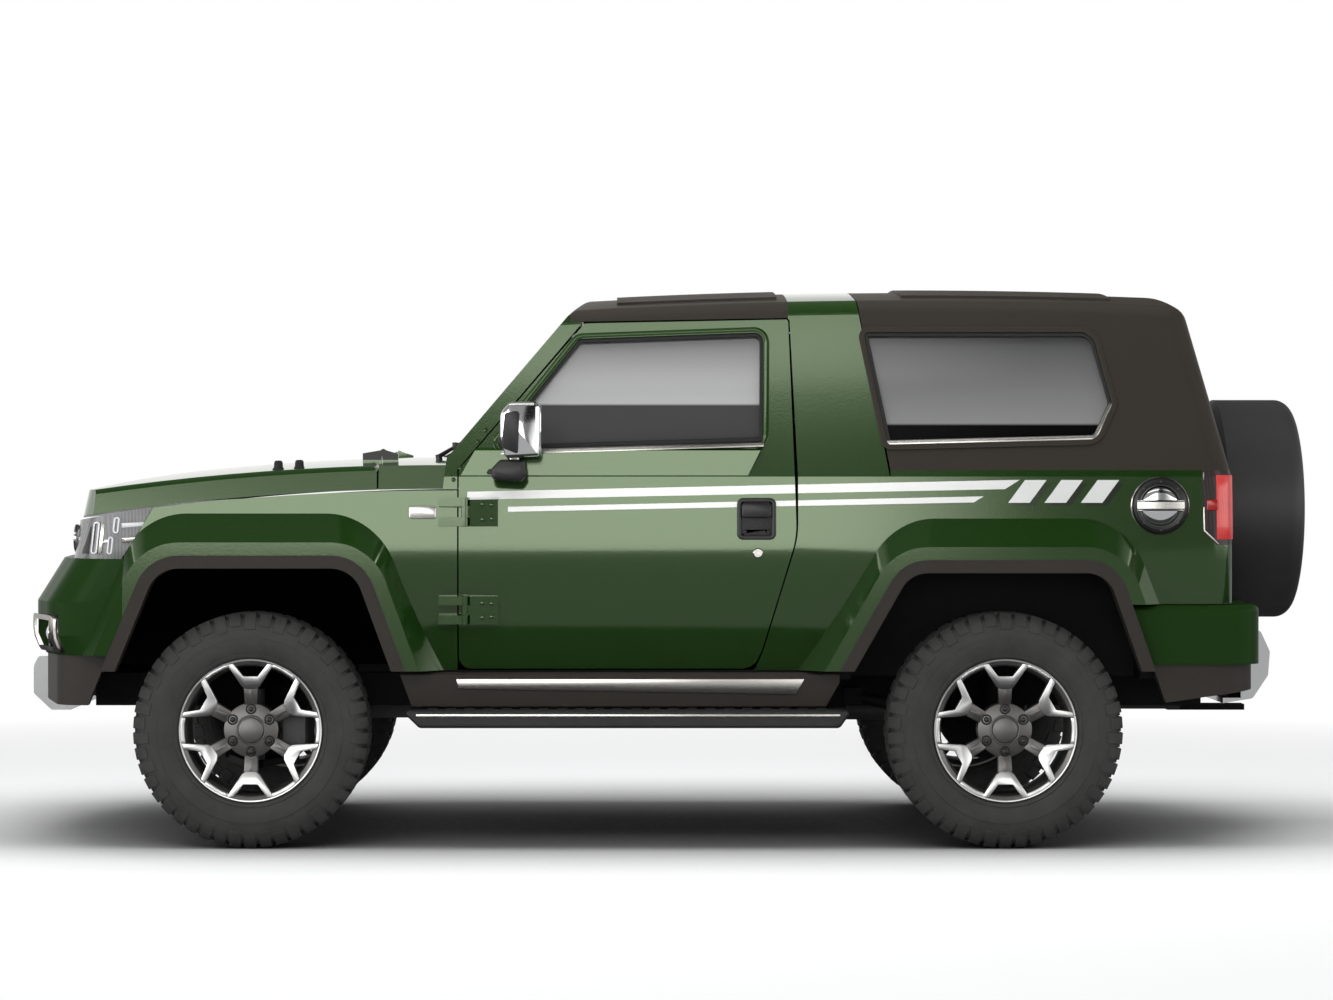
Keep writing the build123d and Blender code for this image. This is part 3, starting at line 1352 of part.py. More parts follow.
# Steering knuckles with their spindles and brake calipers
disc_in = 12.0
disc_thick = 22.0
with BuildPart() as knuckle_left:
    post_y = -kingpin_y
    post_low = (front_axle_x, post_y, ball_low_z + gap)
    post_high = (front_axle_x, post_y, ball_high_z - gap)
    rod(post_low, post_high, steer_boss_radius)
    pin_low = (front_axle_x, post_y, ball_low_z - arm_thick)
    pin_high = (front_axle_x, post_y, ball_high_z + arm_thick)
    rod(pin_low, pin_high, joint_pin_radius)
    rod((front_axle_x, post_y, axle_z), (front_axle_x, -wheel_y - spindle_out, axle_z), spindle_radius)
    block(front_axle_x, front_axle_x + 172.0, post_y - 20.0, post_y + 6.0, axle_z - 50.0, axle_z + 50.0)
    block(front_axle_x + 100.0, front_axle_x + 172.0, -wheel_y - 28.0, post_y, axle_z - 55.0, axle_z + 55.0)
    with BuildSketch(Plane.XZ.offset(wheel_y - disc_in - gap)) as slot:
        with Locations((front_axle_x, axle_z)):
            Circle(disc_radius + gap)
    extrude(slot.sketch, amount=disc_thick + 2 * gap, mode=Mode.SUBTRACT)
    rod((front_axle_x, post_y, axle_z), (front_axle_x, -wheel_y - spindle_out, axle_z), spindle_radius)
knuckle_left.part.label = "knuckle_left"
export_step(knuckle_left.part, "parts/knuckle_left.step")

with BuildPart() as knuckle_right:
    mirror(knuckle_left.part, about=Plane.XZ)
knuckle_right.part.label = "knuckle_right"
export_step(knuckle_right.part, "parts/knuckle_right.step")

# Wheels, built once about the Y axis with the outer face to the left
bead_half = 100.0
flange = rim_width / 2
half_width = tyre_width / 2
with BuildPart() as tyre:
    with BuildSketch(Plane.XY) as profile:
        with BuildLine():
            Polyline((rim_radius, -bead_half), (rim_lip_radius, -bead_half))
            ThreePointArc((rim_lip_radius, -bead_half), (296.0, -half_width), (354.0, -half_width + 10.0))
            Polyline(
                (354.0, -half_width + 10.0),
                (tyre_radius, -half_width + 34.0),
                (tyre_radius, half_width - 34.0),
                (354.0, half_width - 10.0),
            )
            ThreePointArc((354.0, half_width - 10.0), (296.0, half_width), (rim_lip_radius, bead_half))
            Polyline((rim_lip_radius, bead_half), (rim_radius, bead_half), (rim_radius, -bead_half))
        make_face()
    revolve(profile.sketch, axis=Axis.Y)

window_step = 360.0 / spoke_count
window_plane = Plane.XZ.offset(disc_thick - disc_in + 1.0)


def polar(radius, angle):
    return (radius * cos(radians(angle)), radius * sin(radians(angle)))


with BuildPart() as rim:
    with BuildSketch(Plane.XY) as barrel:
        with BuildLine():
            Polyline(
                (rim_radius - 0.3, bead_half),
                (rim_lip_radius, bead_half),
                (rim_lip_radius, flange),
                (rim_inner_radius + 4.0, flange),
                (rim_inner_radius, 84.0),
                (rim_inner_radius, -84.0),
                (rim_inner_radius + 4.0, -flange),
                (rim_lip_radius, -flange),
                (rim_lip_radius, -bead_half),
                (rim_radius - 0.3, -bead_half),
                close=True,
            )
        make_face()
    revolve(barrel.sketch, axis=Axis.Y)
    with BuildSketch(Plane.XY) as face:
        with BuildLine():
            Polyline(
                (0, -78.0),
                (hub_radius, -78.0),
                (rim_inner_radius + 2.0, -100.0),
                (rim_inner_radius + 2.0, -64.0),
                (hub_radius, -46.0),
                (hub_radius, disc_in - disc_thick),
                (disc_radius, disc_in - disc_thick),
                (disc_radius, disc_in),
                (0, disc_in),
                close=True,
            )
        make_face()
    revolve(face.sketch, axis=Axis.Y)
    for number in range(spoke_count):
        middle = number * window_step
        big = (
            polar(107.0, middle - 11.0),
            polar(134.0, middle - 20.5),
            polar(198.0, middle - 15.5),
            polar(rim_inner_radius + 1.0, middle - 12.0),
            polar(rim_inner_radius + 1.0, middle + 12.0),
            polar(198.0, middle + 15.5),
            polar(134.0, middle + 20.5),
            polar(107.0, middle + 11.0),
        )
        extrude(outline(big, 5.0, window_plane), amount=100.0, mode=Mode.SUBTRACT)
        spoke = middle + window_step / 2
        small = (
            polar(182.0, spoke - 7.0),
            polar(rim_inner_radius, spoke - 10.5),
            polar(rim_inner_radius, spoke + 10.5),
            polar(182.0, spoke + 7.0),
        )
        extrude(outline(small, 2.0, window_plane), amount=100.0, mode=Mode.SUBTRACT)
        lug = polar(lug_circle_radius, spoke)
        rod((lug[0], -60.0, lug[1]), (lug[0], -88.0, lug[1]), lug_radius)
    rod((0, -70.0, 0), (0, -94.0, 0), 48.0)
    rod((0, disc_in + 1.0, 0), (0, -spindle_out - 2.0, 0), spindle_radius + bore_clearance, Mode.SUBTRACT)

wheel_names = ("name", "x", "side")
wheel_rows = (
    ("front_left", front_axle_x, -1),
    ("front_right", front_axle_x, 1),
    ("rear_left", rear_axle_x, -1),
    ("rear_right", rear_axle_x, 1),
)
for row in wheel_rows:
    wheel = dict(zip(wheel_names, row))
    place = Location((wheel["x"], wheel["side"] * wheel_y, axle_z))
    with BuildPart() as placed_tyre:
        add(tyre.part.moved(place))
    placed_tyre.part.label = "tyre_" + wheel["name"]
    export_step(placed_tyre.part, "parts/tyre_" + wheel["name"] + ".step")
    with BuildPart() as placed_rim:
        if wheel["side"] < 0:
            add(rim.part.moved(place))
        else:
            add(mirror(rim.part, about=Plane.XZ, mode=Mode.PRIVATE).moved(place))
    placed_rim.part.label = "rim_" + wheel["name"]
    export_step(placed_rim.part, "parts/rim_" + wheel["name"] + ".step")

# Cabin fittings
with BuildPart() as dashboard:
    dash_x = firewall_x + 24.0
    dash_side = (
        (dash_x, 880.0),
        (dash_x, hood_edge_z - 20.0),
        (dash_x + 190.0, 1150.0),
        (dash_x + 350.0, 1105.0),
        (dash_x + 372.0, 990.0),
        (dash_x + 300.0, 880.0),
    )
    dash_half = fender_inner_half - 8.0
    extrude(outline(dash_side, (0, 0, 60, 40, 40, 30)), amount=dash_half, both=True)
    block(dash_x, dash_x + 520.0, -120.0, 120.0, sill_z, 880.0)
dashboard.part.label = "dashboard"
export_step(dashboard.part, "parts/dashboard.step")

seat_y = 370.0
wheel_tilt = 24.0
with BuildPart() as steering_wheel:
    centre = (firewall_x + 490.0, -seat_y, 1020.0)
    way = Vector(cos(radians(wheel_tilt)), 0, sin(radians(wheel_tilt)))
    tilted = Plane(origin=centre, x_dir=(0, 1, 0), z_dir=way)
    with BuildSketch(Plane(origin=centre, x_dir=way, z_dir=(0, 1, 0))) as rim_ring:
        with Locations((0, 176.0)):
            Circle(15.0)
    revolve(rim_ring.sketch, axis=Axis(centre, way))
    with BuildSketch(tilted.offset(-12.0)) as spokes:
        Circle(62.0)
        Rectangle(350.0, 36.0)
        with Locations((0, -86.0)):
            Rectangle(36.0, 170.0)
    extrude(spokes.sketch, amount=22.0)
    stem = Vector(*centre) - way * 170.0
    rod(tuple(stem), centre, 30.0)
    add(dashboard.part, mode=Mode.SUBTRACT)
steering_wheel.part.label = "steering_wheel"
export_step(steering_wheel.part, "parts/steering_wheel.step")

with BuildPart() as front_seats:
    seat_x = door_front_x + 610.0
    profile = (
        (seat_x, sill_z),
        (seat_x - 20.0, 800.0),
        (seat_x - 10.0, 920.0),
        (seat_x + 380.0, 895.0),
        (seat_x + 520.0, 1440.0),
        (seat_x + 555.0, 1640.0),
        (seat_x + 650.0, 1640.0),
        (seat_x + 640.0, 1430.0),
        (seat_x + 500.0, 830.0),
        (seat_x + 450.0, sill_z),
    )
    radii = (0, 40, 60, 60, 30, 40, 40, 60, 60, 0)
    extrude(outline(profile, radii, Plane.XZ.offset(seat_y - 250.0)), amount=500.0)
    mirror(about=Plane.XZ)
front_seats.part.label = "front_seats"
export_step(front_seats.part, "parts/front_seats.step")

with BuildPart() as rear_bench:
    bench_x = rear_axle_x - 270.0
    profile = (
        (bench_x, sill_z),
        (bench_x - 20.0, 900.0),
        (bench_x + 360.0, 880.0),
        (bench_x + 480.0, 1400.0),
        (bench_x + 580.0, 1400.0),
        (bench_x + 480.0, sill_z),
    )
    extrude(outline(profile, (0, 60, 50, 50, 50, 0)), amount=wheel_room_half - 12.0, both=True)
rear_bench.part.label = "rear_bench"
export_step(rear_bench.part, "parts/rear_bench.step")

# Fuel filler on the left quarter
filler_x = rear_axle_x + 503.0
filler_z = 1112.0
with BuildPart() as fuel_filler:
    rod((filler_x, -(body_half + 18.0), filler_z), (filler_x, -(shoulder_half - 30.0), filler_z), 90.0)
    rod((filler_x, -(body_half + 24.0), filler_z), (filler_x, -(body_half + 2.0), filler_z), 70.0)
    add(rear_quarters.part, mode=Mode.SUBTRACT)
fuel_filler.part.label = "fuel_filler"
export_step(fuel_filler.part, "parts/fuel_filler.step")
print("pieces written")
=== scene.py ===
import bpy
import bmesh
import math
from mathutils import Matrix, Vector


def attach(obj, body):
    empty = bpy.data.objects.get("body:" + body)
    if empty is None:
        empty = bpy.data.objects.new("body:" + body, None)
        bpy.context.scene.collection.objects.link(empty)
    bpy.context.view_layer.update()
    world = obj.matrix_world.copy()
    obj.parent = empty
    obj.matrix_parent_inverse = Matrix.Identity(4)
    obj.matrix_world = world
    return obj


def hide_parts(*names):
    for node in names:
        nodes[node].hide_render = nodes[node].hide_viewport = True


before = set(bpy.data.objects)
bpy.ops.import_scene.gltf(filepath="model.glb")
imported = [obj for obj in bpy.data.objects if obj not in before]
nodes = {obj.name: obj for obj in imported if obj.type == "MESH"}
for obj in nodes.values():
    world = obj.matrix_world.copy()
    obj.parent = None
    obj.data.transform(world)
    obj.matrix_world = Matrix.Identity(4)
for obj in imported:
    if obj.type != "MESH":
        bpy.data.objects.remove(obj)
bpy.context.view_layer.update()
print("frame loaded with", len(nodes), "nodes")

bpy.context.scene.view_settings.view_transform = "Standard"


# picking and primitives
def clearPick():
    if bpy.context.mode != "OBJECT":
        bpy.ops.object.mode_set(mode="OBJECT")
    bpy.ops.object.select_all(action="DESELECT")


def pickOnly(obj):
    clearPick()
    obj.select_set(True)
    bpy.context.view_layer.objects.active = obj


def settle(obj):  # put the place into the mesh
    pickOnly(obj)
    bpy.ops.object.transform_apply(location=True, rotation=True, scale=True)
    return obj


def named(name):  # the piece just made
    obj = bpy.context.object
    obj.name = name
    return settle(obj)


def addBlock(name, low, high):
    clearPick()
    middle = [(a + b) / 2 for a, b in zip(low, high)]
    size = [abs(b - a) for a, b in zip(low, high)]
    bpy.ops.mesh.primitive_cube_add(size=1, location=middle, scale=size)
    return named(name)


def addTube(name, start, end, radius, sides=32, endRadius=None):
    clearPick()
    way = Vector(end) - Vector(start)
    bpy.ops.mesh.primitive_cone_add(
        vertices=sides,
        radius1=radius,
        radius2=radius if endRadius is None else endRadius,
        depth=way.length,
        location=(Vector(start) + Vector(end)) / 2,
        rotation=way.to_track_quat("Z", "Y").to_euler(),
    )
    return named(name)


def addBall(name, centre, radius, rings=16):
    clearPick()
    bpy.ops.mesh.primitive_uv_sphere_add(
        segments=rings * 2, ring_count=rings, radius=radius, location=centre
    )
    return named(name)


def addRing(name, centre, major, minor, axis="Y", around=64, tube=12):
    clearPick()
    turn = {"X": (0, math.pi / 2, 0), "Y": (math.pi / 2, 0, 0), "Z": (0, 0, 0)}[axis]
    bpy.ops.mesh.primitive_torus_add(
        location=centre, rotation=turn, major_radius=major, minor_radius=minor,
        major_segments=around, minor_segments=tube,
    )
    return named(name)


def openEdit(obj):  # edit mode with everything picked
    pickOnly(obj)
    bpy.ops.object.mode_set(mode="EDIT")
    bpy.ops.mesh.select_all(action="SELECT")
    return bmesh.from_edit_mesh(obj.data)


def closeEdit():
    bpy.ops.object.mode_set(mode="OBJECT")


def tidyNormals(obj, merge=0.00001):
    openEdit(obj)
    bpy.ops.mesh.remove_doubles(threshold=merge)
    bpy.ops.mesh.normals_make_consistent(inside=False)
    closeEdit()
    return obj


def soften(obj, width, segments=2, angle=35):
    pickOnly(obj)
    mod = obj.modifiers.new("soften", "BEVEL")
    mod.width = width
    mod.segments = segments
    mod.limit_method = "ANGLE"
    mod.angle_limit = math.radians(angle)
    bpy.ops.object.modifier_apply(modifier=mod.name)
    return obj


def addPlate(name, points, push, keepOpen=False):  # corners given one by one, then pushed to a thickness
    clearPick()
    fill = "NOTHING" if keepOpen else "NGON"
    bpy.ops.mesh.primitive_circle_add(vertices=len(points), radius=0.1, fill_type=fill)
    obj = bpy.context.object
    obj.name = name
    mesh = openEdit(obj)
    mesh.verts.ensure_lookup_table()
    for vert, place in zip(mesh.verts, points):
        vert.co = Vector(place)
    bmesh.update_edit_mesh(obj.data)
    if push is not None:
        bpy.ops.mesh.extrude_region_move(TRANSFORM_OT_translate={"value": push})
        bpy.ops.mesh.select_all(action="SELECT")
        bpy.ops.mesh.normals_make_consistent(inside=False)
    closeEdit()
    return obj


def moveVerts(obj, rule):  # edit mode is open, and stays open
    for vert in bmesh.from_edit_mesh(obj.data).verts:
        vert.co = rule(vert.co)
    bmesh.update_edit_mesh(obj.data)


def spinProfile(name, points, centre, axis, steps, closed=True):  # a closed profile turned right round
    obj = addPlate(name, points, None, keepOpen=True)
    mesh = openEdit(obj)
    if not closed:
        mesh.edges.ensure_lookup_table()
        ends = {0, len(points) - 1}
        for edge in list(mesh.edges):
            if {v.index for v in edge.verts} == ends:
                mesh.edges.remove(edge)
        bmesh.update_edit_mesh(obj.data)
    bpy.ops.mesh.select_all(action="SELECT")
    bpy.ops.mesh.spin(steps=steps, angle=math.tau, center=centre, axis=axis)
    closeEdit()
    return tidyNormals(obj)


def copyRound(obj, count, centre, axis):  # the same shape repeated about an axis
    openEdit(obj)
    bpy.ops.mesh.spin(
        steps=count - 1, dupli=True, angle=math.tau * (count - 1) / count, center=centre, axis=axis
    )
    closeEdit()
    return obj


def joinAll(name, parts):
    clearPick()
    for part in parts:
        part.select_set(True)
    bpy.context.view_layer.objects.active = parts[0]
    if len(parts) > 1:
        bpy.ops.object.join()
    parts[0].name = name
    return parts[0]


def copyOf(obj, name, shift=(0, 0, 0), scale=(1, 1, 1)):
    pickOnly(obj)
    bpy.ops.object.duplicate()
    twin = bpy.context.object
    twin.location = shift
    twin.scale = scale
    return named(name)


def mirrorOf(obj, name):  # the same piece on the right-hand side
    twin = copyOf(obj, name, scale=(1, -1, 1))
    openEdit(twin)
    bpy.ops.mesh.flip_normals()
    closeEdit()
    return twin


def turnPiece(obj, angle, axis, centre):
    pickOnly(obj)
    obj.matrix_world = (
        Matrix.Translation(centre) @ Matrix.Rotation(angle, 4, axis) @ Matrix.Translation(-Vector(centre))
    )
    return settle(obj)


def dress(obj, finish, body, angle=35):
    pickOnly(obj)
    bpy.ops.object.shade_smooth_by_angle(angle=math.radians(angle))
    obj.data.materials.clear()
    obj.data.materials.append(finish)
    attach(obj, body)
    return obj


def dressPair(obj, name, finish, bodies, angle=35):  # left piece and its mirrored copy
    twin = mirrorOf(obj, name)
    dress(obj, finish, bodies[0], angle)
    dress(twin, finish, bodies[1], angle)
    return obj, twin


print("helpers ready")


# finishes, all from nodes
def freshFinish(name, colour, rough, metal=0.0, coat=0.0, level=0.5):
    finish = bpy.data.materials.new(name)
    finish.use_nodes = True
    shader = finish.node_tree.nodes["Principled BSDF"]
    values = {
        "Base Color": (*colour, 1),
        "Roughness": rough,
        "Metallic": metal,
        "Coat Weight": coat,
        "Coat Roughness": 0.03,
        "Specular IOR Level": level,
    }
    for socket, value in values.items():
        shader.inputs[socket].default_value = value
    return finish, finish.node_tree, shader


def objectPlace(tree):
    place = tree.nodes.new("ShaderNodeTexCoord")
    return place.outputs["Object"]


def mathStep(tree, job, first, second=None, third=None):
    node = tree.nodes.new("ShaderNodeMath")
    node.operation = job
    for socket, value in zip(node.inputs, (first, second, third)):
        if value is None:
            continue
        if isinstance(value, (int, float)):
            socket.default_value = value
        else:
            tree.links.new(value, socket)
    return node.outputs[0]


def product(tree, first, *others):
    for other in others:
        first = mathStep(tree, "MULTIPLY", first, other)
    return first


def largest(tree, first, *others):
    for other in others:
        first = mathStep(tree, "MAXIMUM", first, other)
    return first


def inside(tree, value, low, high):
    above = mathStep(tree, "GREATER_THAN", value, low)
    return product(tree, above, mathStep(tree, "LESS_THAN", value, high))


def scaled(colour, factor):
    return tuple(min(1.0, c * factor) for c in colour)


def noiseOf(tree, place, scale, detail=3.0):
    node = tree.nodes.new("ShaderNodeTexNoise")
    node.inputs["Scale"].default_value = scale
    node.inputs["Detail"].default_value = detail
    node.inputs["Roughness"].default_value = 0.6
    tree.links.new(place, node.inputs["Vector"])
    return node.outputs["Fac"]


def blendColours(tree, factor, first, second):
    node = tree.nodes.new("ShaderNodeMix")
    node.data_type = "RGBA"
    tree.links.new(factor, node.inputs["Factor"])
    for socket, value in ((node.inputs[6], first), (node.inputs[7], second)):
        if isinstance(value, tuple):
            socket.default_value = (*value, 1)
        else:
            tree.links.new(value, socket)
    return node.outputs[2]


def spread(tree, factor, low, high, start=0.0, stop=1.0):
    node = tree.nodes.new("ShaderNodeMapRange")
    tree.links.new(factor, node.inputs["Value"])
    node.inputs["From Min"].default_value = start
    node.inputs["From Max"].default_value = stop
    node.inputs["To Min"].default_value = low
    node.inputs["To Max"].default_value = high
    return node.outputs[0]


def bumpFrom(tree, shader, height, strength, distance):
    node = tree.nodes.new("ShaderNodeBump")
    node.inputs["Strength"].default_value = strength
    node.inputs["Distance"].default_value = distance
    tree.links.new(height, node.inputs["Height"])
    tree.links.new(node.outputs["Normal"], shader.inputs["Normal"])


def rampOf(tree, value, rows, scale=1.0):  # levels at set values
    node = tree.nodes.new("ShaderNodeValToRGB")
    stops = node.color_ramp.elements
    for number, (place, level) in enumerate(rows):
        mark = stops[number] if number < 2 else stops.new(place)
        mark.position = place
        mark.color = (level / scale, level / scale, level / scale, 1)
    tree.links.new(value, node.inputs[0])
    return node.outputs["Color"]


def lightOf(tree, kind, colour, strength):
    node = tree.nodes.new(kind)
    node.inputs["Color"].default_value = (*colour, 1)
    if isinstance(strength, float):
        node.inputs["Strength"].default_value = strength
    else:
        tree.links.new(strength, node.inputs["Strength"])
    return node.outputs[0]


def mixShaders(tree, factor, first, second):
    node = tree.nodes.new("ShaderNodeMixShader")
    for socket, source in zip(node.inputs, (factor, first, second)):
        tree.links.new(source, socket)
    return node.outputs[0]


def seenBy(tree):  # camera or transmission rays, and glossy rays
    paths = tree.nodes.new("ShaderNodeLightPath")
    seen = largest(tree, paths.outputs["Is Camera Ray"], paths.outputs["Is Transmission Ray"])
    return seen, paths.outputs["Is Glossy Ray"]


def partsOf(tree, place):
    node = tree.nodes.new("ShaderNodeSeparateXYZ")
    tree.links.new(place, node.inputs[0])
    return node.outputs[0], node.outputs[1], node.outputs[2]


def grainedFinish(name, colour, rough, grain, depth, metal=0.0, vary=0.25):
    finish, tree, shader = freshFinish(name, colour, rough, metal)
    place = objectPlace(tree)
    broad = noiseOf(tree, place, 6.0)
    fine = noiseOf(tree, place, grain, 2.0)
    mottle = blendColours(tree, broad, scaled(colour, 1 - vary), scaled(colour, 1 + vary))
    tree.links.new(mottle, shader.inputs["Base Color"])
    tree.links.new(spread(tree, fine, rough * 0.88, min(1.0, rough * 1.12)), shader.inputs["Roughness"])
    bumpFrom(tree, shader, fine, 0.4, depth)
    return finish


paintLook = {
    "green": (0.0085, 0.030, 0.0045),
    "flake": (0.013, 0.042, 0.0075),
    "white": (0.78, 0.79, 0.77),
    "black": (0.010, 0.011, 0.010),
    "coat": 0.30,
    "reflectionTint": (0.80, 1.0, 0.66),
}
stripeKeys = ("from", "to", "low", "high", "lowRise", "highRise", "slant")
stripeLook = {
    "wide": dict(zip(stripeKeys, (-0.672, 1.020, 1.132, 1.158, 0.0197, 0.0215, 1.6))),
    "thin": dict(zip(stripeKeys, (-0.540, 0.925, 1.093, 1.109, 0.0200, 0.0220, 1.6))),
    "line": dict(zip(stripeKeys, (-0.540, 0.905, 1.0875, 1.0915, 0.0198, 0.0200, 1.6))),
}
barLook = {
    "from": 1.085, "pitch": 0.118, "width": 0.070, "low": 1.122, "high": 1.196, "slant": 0.75, "count": 3,
}
barShadow = (0.016, -0.010)  # the black copies behind the white bars


def bandMask(tree, along, up, band):
    run = mathStep(tree, "SUBTRACT", along, band["from"])
    low = mathStep(tree, "MULTIPLY_ADD", run, band["lowRise"], band["low"])
    high = mathStep(tree, "MULTIPLY_ADD", run, band["highRise"], band["high"])
    rise = mathStep(tree, "SUBTRACT", up, band["low"])
    lean = mathStep(tree, "MULTIPLY_ADD", rise, band["slant"], band["to"])
    started = mathStep(tree, "GREATER_THAN", run, 0.0)
    return product(tree, inside(tree, up, low, high), started, mathStep(tree, "LESS_THAN", along, lean))


def barMask(tree, along, up, bars, shift=(0.0, 0.0)):
    rise = mathStep(tree, "SUBTRACT", up, bars["low"] + shift[1])
    straight = mathStep(tree, "MULTIPLY_ADD", rise, -bars["slant"], along)
    run = mathStep(tree, "SUBTRACT", straight, bars["from"] + shift[0])
    step = mathStep(tree, "MODULO", run, bars["pitch"])
    within = inside(tree, run, 0.0, bars["pitch"] * bars["count"])
    tall = inside(tree, rise, 0.0, bars["high"] - bars["low"])
    return product(tree, mathStep(tree, "LESS_THAN", step, bars["width"]), within, tall)


def paintFinish(name, striped=False, hinged=False, rough=0.08, level=0.85):
    look = paintLook
    finish, tree, shader = freshFinish(name, look["green"], rough, 0.0, look["coat"] * level, level=level)
    place = objectPlace(tree)
    along, across, up = partsOf(tree, place)
    out = mathStep(tree, "ABSOLUTE", across)
    flake = spread(tree, noiseOf(tree, place, 900.0, 2.0), 0.0, 1.0, 0.42, 0.62)
    colour = blendColours(tree, flake, look["green"], look["flake"])
    shine = blendColours(tree, flake, look["reflectionTint"], look["reflectionTint"])
    if striped:
        skin = spread(tree, out, 0.0, 1.0, 0.830, 0.834)
        bands = {kind: bandMask(tree, along, up, band) for kind, band in stripeLook.items()}
        black = largest(tree, barMask(tree, along, up, barLook, barShadow), bands["line"])
        colour = blendColours(tree, product(tree, black, skin), colour, look["black"])
        white = largest(tree, barMask(tree, along, up, barLook), bands["wide"], bands["thin"])
        white = product(tree, white, skin)
        colour = blendColours(tree, white, colour, look["white"])
        shine = blendColours(tree, white, look["reflectionTint"], (1.0, 1.0, 1.0))
    if hinged:  # the hood's hinges stand up black from the painted skin
        hingeRows = (
            (along, 0.0, 1.0, -1.042, -1.040),
            (along, 1.0, 0.0, -0.912, -0.910),
            (out, 0.0, 1.0, 0.448, 0.452),
            (out, 1.0, 0.0, 0.526, 0.530),
            (up, 0.0, 1.0, 1.2620, 1.2635),
        )
        near = product(tree, *[spread(tree, *row) for row in hingeRows])
        colour = blendColours(tree, near, colour, look["black"])
        shine = blendColours(tree, near, shine, (0.08, 0.08, 0.08))
    tree.links.new(colour, shader.inputs["Base Color"])
    tree.links.new(shine, shader.inputs["Specular Tint"])
    bumpFrom(tree, shader, noiseOf(tree, place, 140.0, 1.0), 0.05, 0.0006)
    return finish


def lensFinish(name, light, dark, pitch=0.011):  # moulded lens with fine upright flutes under a clear skin
    finish, tree, shader = freshFinish(name, light, 0.22, 0.0, 0.25)
    place = objectPlace(tree)
    along, across, up = partsOf(tree, place)
    run = mathStep(tree, "ADD", along, across)
    wave = mathStep(tree, "SINE", mathStep(tree, "MULTIPLY", run, math.tau / pitch))
    flute = spread(tree, wave, 0.0, 1.0, -1.0, 1.0)
    cloud = noiseOf(tree, place, 30.0, 2.0)
    mixed = mathStep(tree, "MULTIPLY_ADD", flute, 0.35, mathStep(tree, "MULTIPLY", cloud, 0.65))
    tree.links.new(blendColours(tree, mixed, dark, light), shader.inputs["Base Color"])
    bumpFrom(tree, shader, flute, 0.15, 0.0010)
    return finish


paneLook = {"see": 0.88, "edge": 0.004}


def paneFinish(name, lowZ, highZ, foot, top, bandZ, band):  # glass painted lighter towards its foot as a painted reflection, with a dark band at its foot
    finish, tree, shader = freshFinish(name, top, 0.02, 0.0, 0.0)
    place = objectPlace(tree)
    along, across, up = partsOf(tree, place)
    rise = spread(tree, up, 0.0, 1.0, lowZ, highZ)
    # painted reflection: the colour runs from light at the pane's foot to dark at its top
    reflectionTint = blendColours(tree, rise, foot, top)
    above = spread(tree, up, 0.0, 1.0, bandZ - paneLook["edge"], bandZ + paneLook["edge"])
    tree.links.new(blendColours(tree, above, band, reflectionTint), shader.inputs["Base Color"])
    haze = noiseOf(tree, place, 4.0, 2.0)
    tree.links.new(spread(tree, haze, 0.012, 0.03), shader.inputs["Roughness"])
    tree.links.new(spread(tree, above, 1.0, paneLook["see"]), shader.inputs["Alpha"])
    return finish


def brushedFinish(name, colour, rough):
    finish, tree, shader = freshFinish(name, colour, rough, 1.0)
    stretch = tree.nodes.new("ShaderNodeMapping")
    stretch.inputs["Scale"].default_value = (4, 260, 260)
    tree.links.new(objectPlace(tree), stretch.inputs["Vector"])
    lines = noiseOf(tree, stretch.outputs[0], 3.0)
    tree.links.new(spread(tree, lines, rough * 0.9, min(1.0, rough * 1.1)), shader.inputs["Roughness"])
    shade = blendColours(tree, lines, scaled(colour, 0.97), scaled(colour, 1.03))
    tree.links.new(shade, shader.inputs["Base Color"])
    bumpFrom(tree, shader, lines, 0.01, 0.0001)
    return finish


def leatherFinish(name, colour, rough=0.5):
    finish, tree, shader = freshFinish(name, colour, rough)
    place = objectPlace(tree)
    cells = tree.nodes.new("ShaderNodeTexVoronoi")
    cells.inputs["Scale"].default_value = 420.0
    tree.links.new(place, cells.inputs["Vector"])
    shade = noiseOf(tree, place, 9.0)
    tree.links.new(blendColours(tree, shade, colour, scaled(colour, 1.35)), shader.inputs["Base Color"])
    pores = cells.outputs["Distance"]
    tree.links.new(spread(tree, pores, rough * 0.85, rough * 1.2), shader.inputs["Roughness"])
    bumpFrom(tree, shader, pores, 0.35, 0.0008)
    return finish


def weaveFinish(name, colour, pitch=0.0022):
    finish, tree, shader = freshFinish(name, colour, 0.85)
    shader.inputs["Sheen Weight"].default_value = 0.25
    place = objectPlace(tree)
    along, across, up = partsOf(tree, place)
    wave = math.tau / pitch
    warp = mathStep(tree, "SINE", mathStep(tree, "MULTIPLY", across, wave))
    weft = mathStep(tree, "SINE", mathStep(tree, "MULTIPLY", mathStep(tree, "ADD", along, up), wave))
    weave = spread(tree, mathStep(tree, "MULTIPLY", warp, weft), 0.0, 1.0, -1.0, 1.0)
    tree.links.new(blendColours(tree, weave, colour, scaled(colour, 1.6)), shader.inputs["Base Color"])
    bumpFrom(tree, shader, weave, 0.3, 0.0006)
    return finish


def tyreFinish(name):
    finish, tree, shader = freshFinish(name, (0.030, 0.030, 0.029), 0.72, level=0.35)
    place = objectPlace(tree)
    dust = noiseOf(tree, place, 14.0, 5.0)
    fine = noiseOf(tree, place, 320.0, 2.0)
    dusty = blendColours(tree, dust, (0.028, 0.028, 0.027), (0.066, 0.065, 0.063))
    tree.links.new(dusty, shader.inputs["Base Color"])
    tree.links.new(spread(tree, fine, 0.6, 0.85), shader.inputs["Roughness"])
    bumpFrom(tree, shader, fine, 0.3, 0.0007)
    return finish


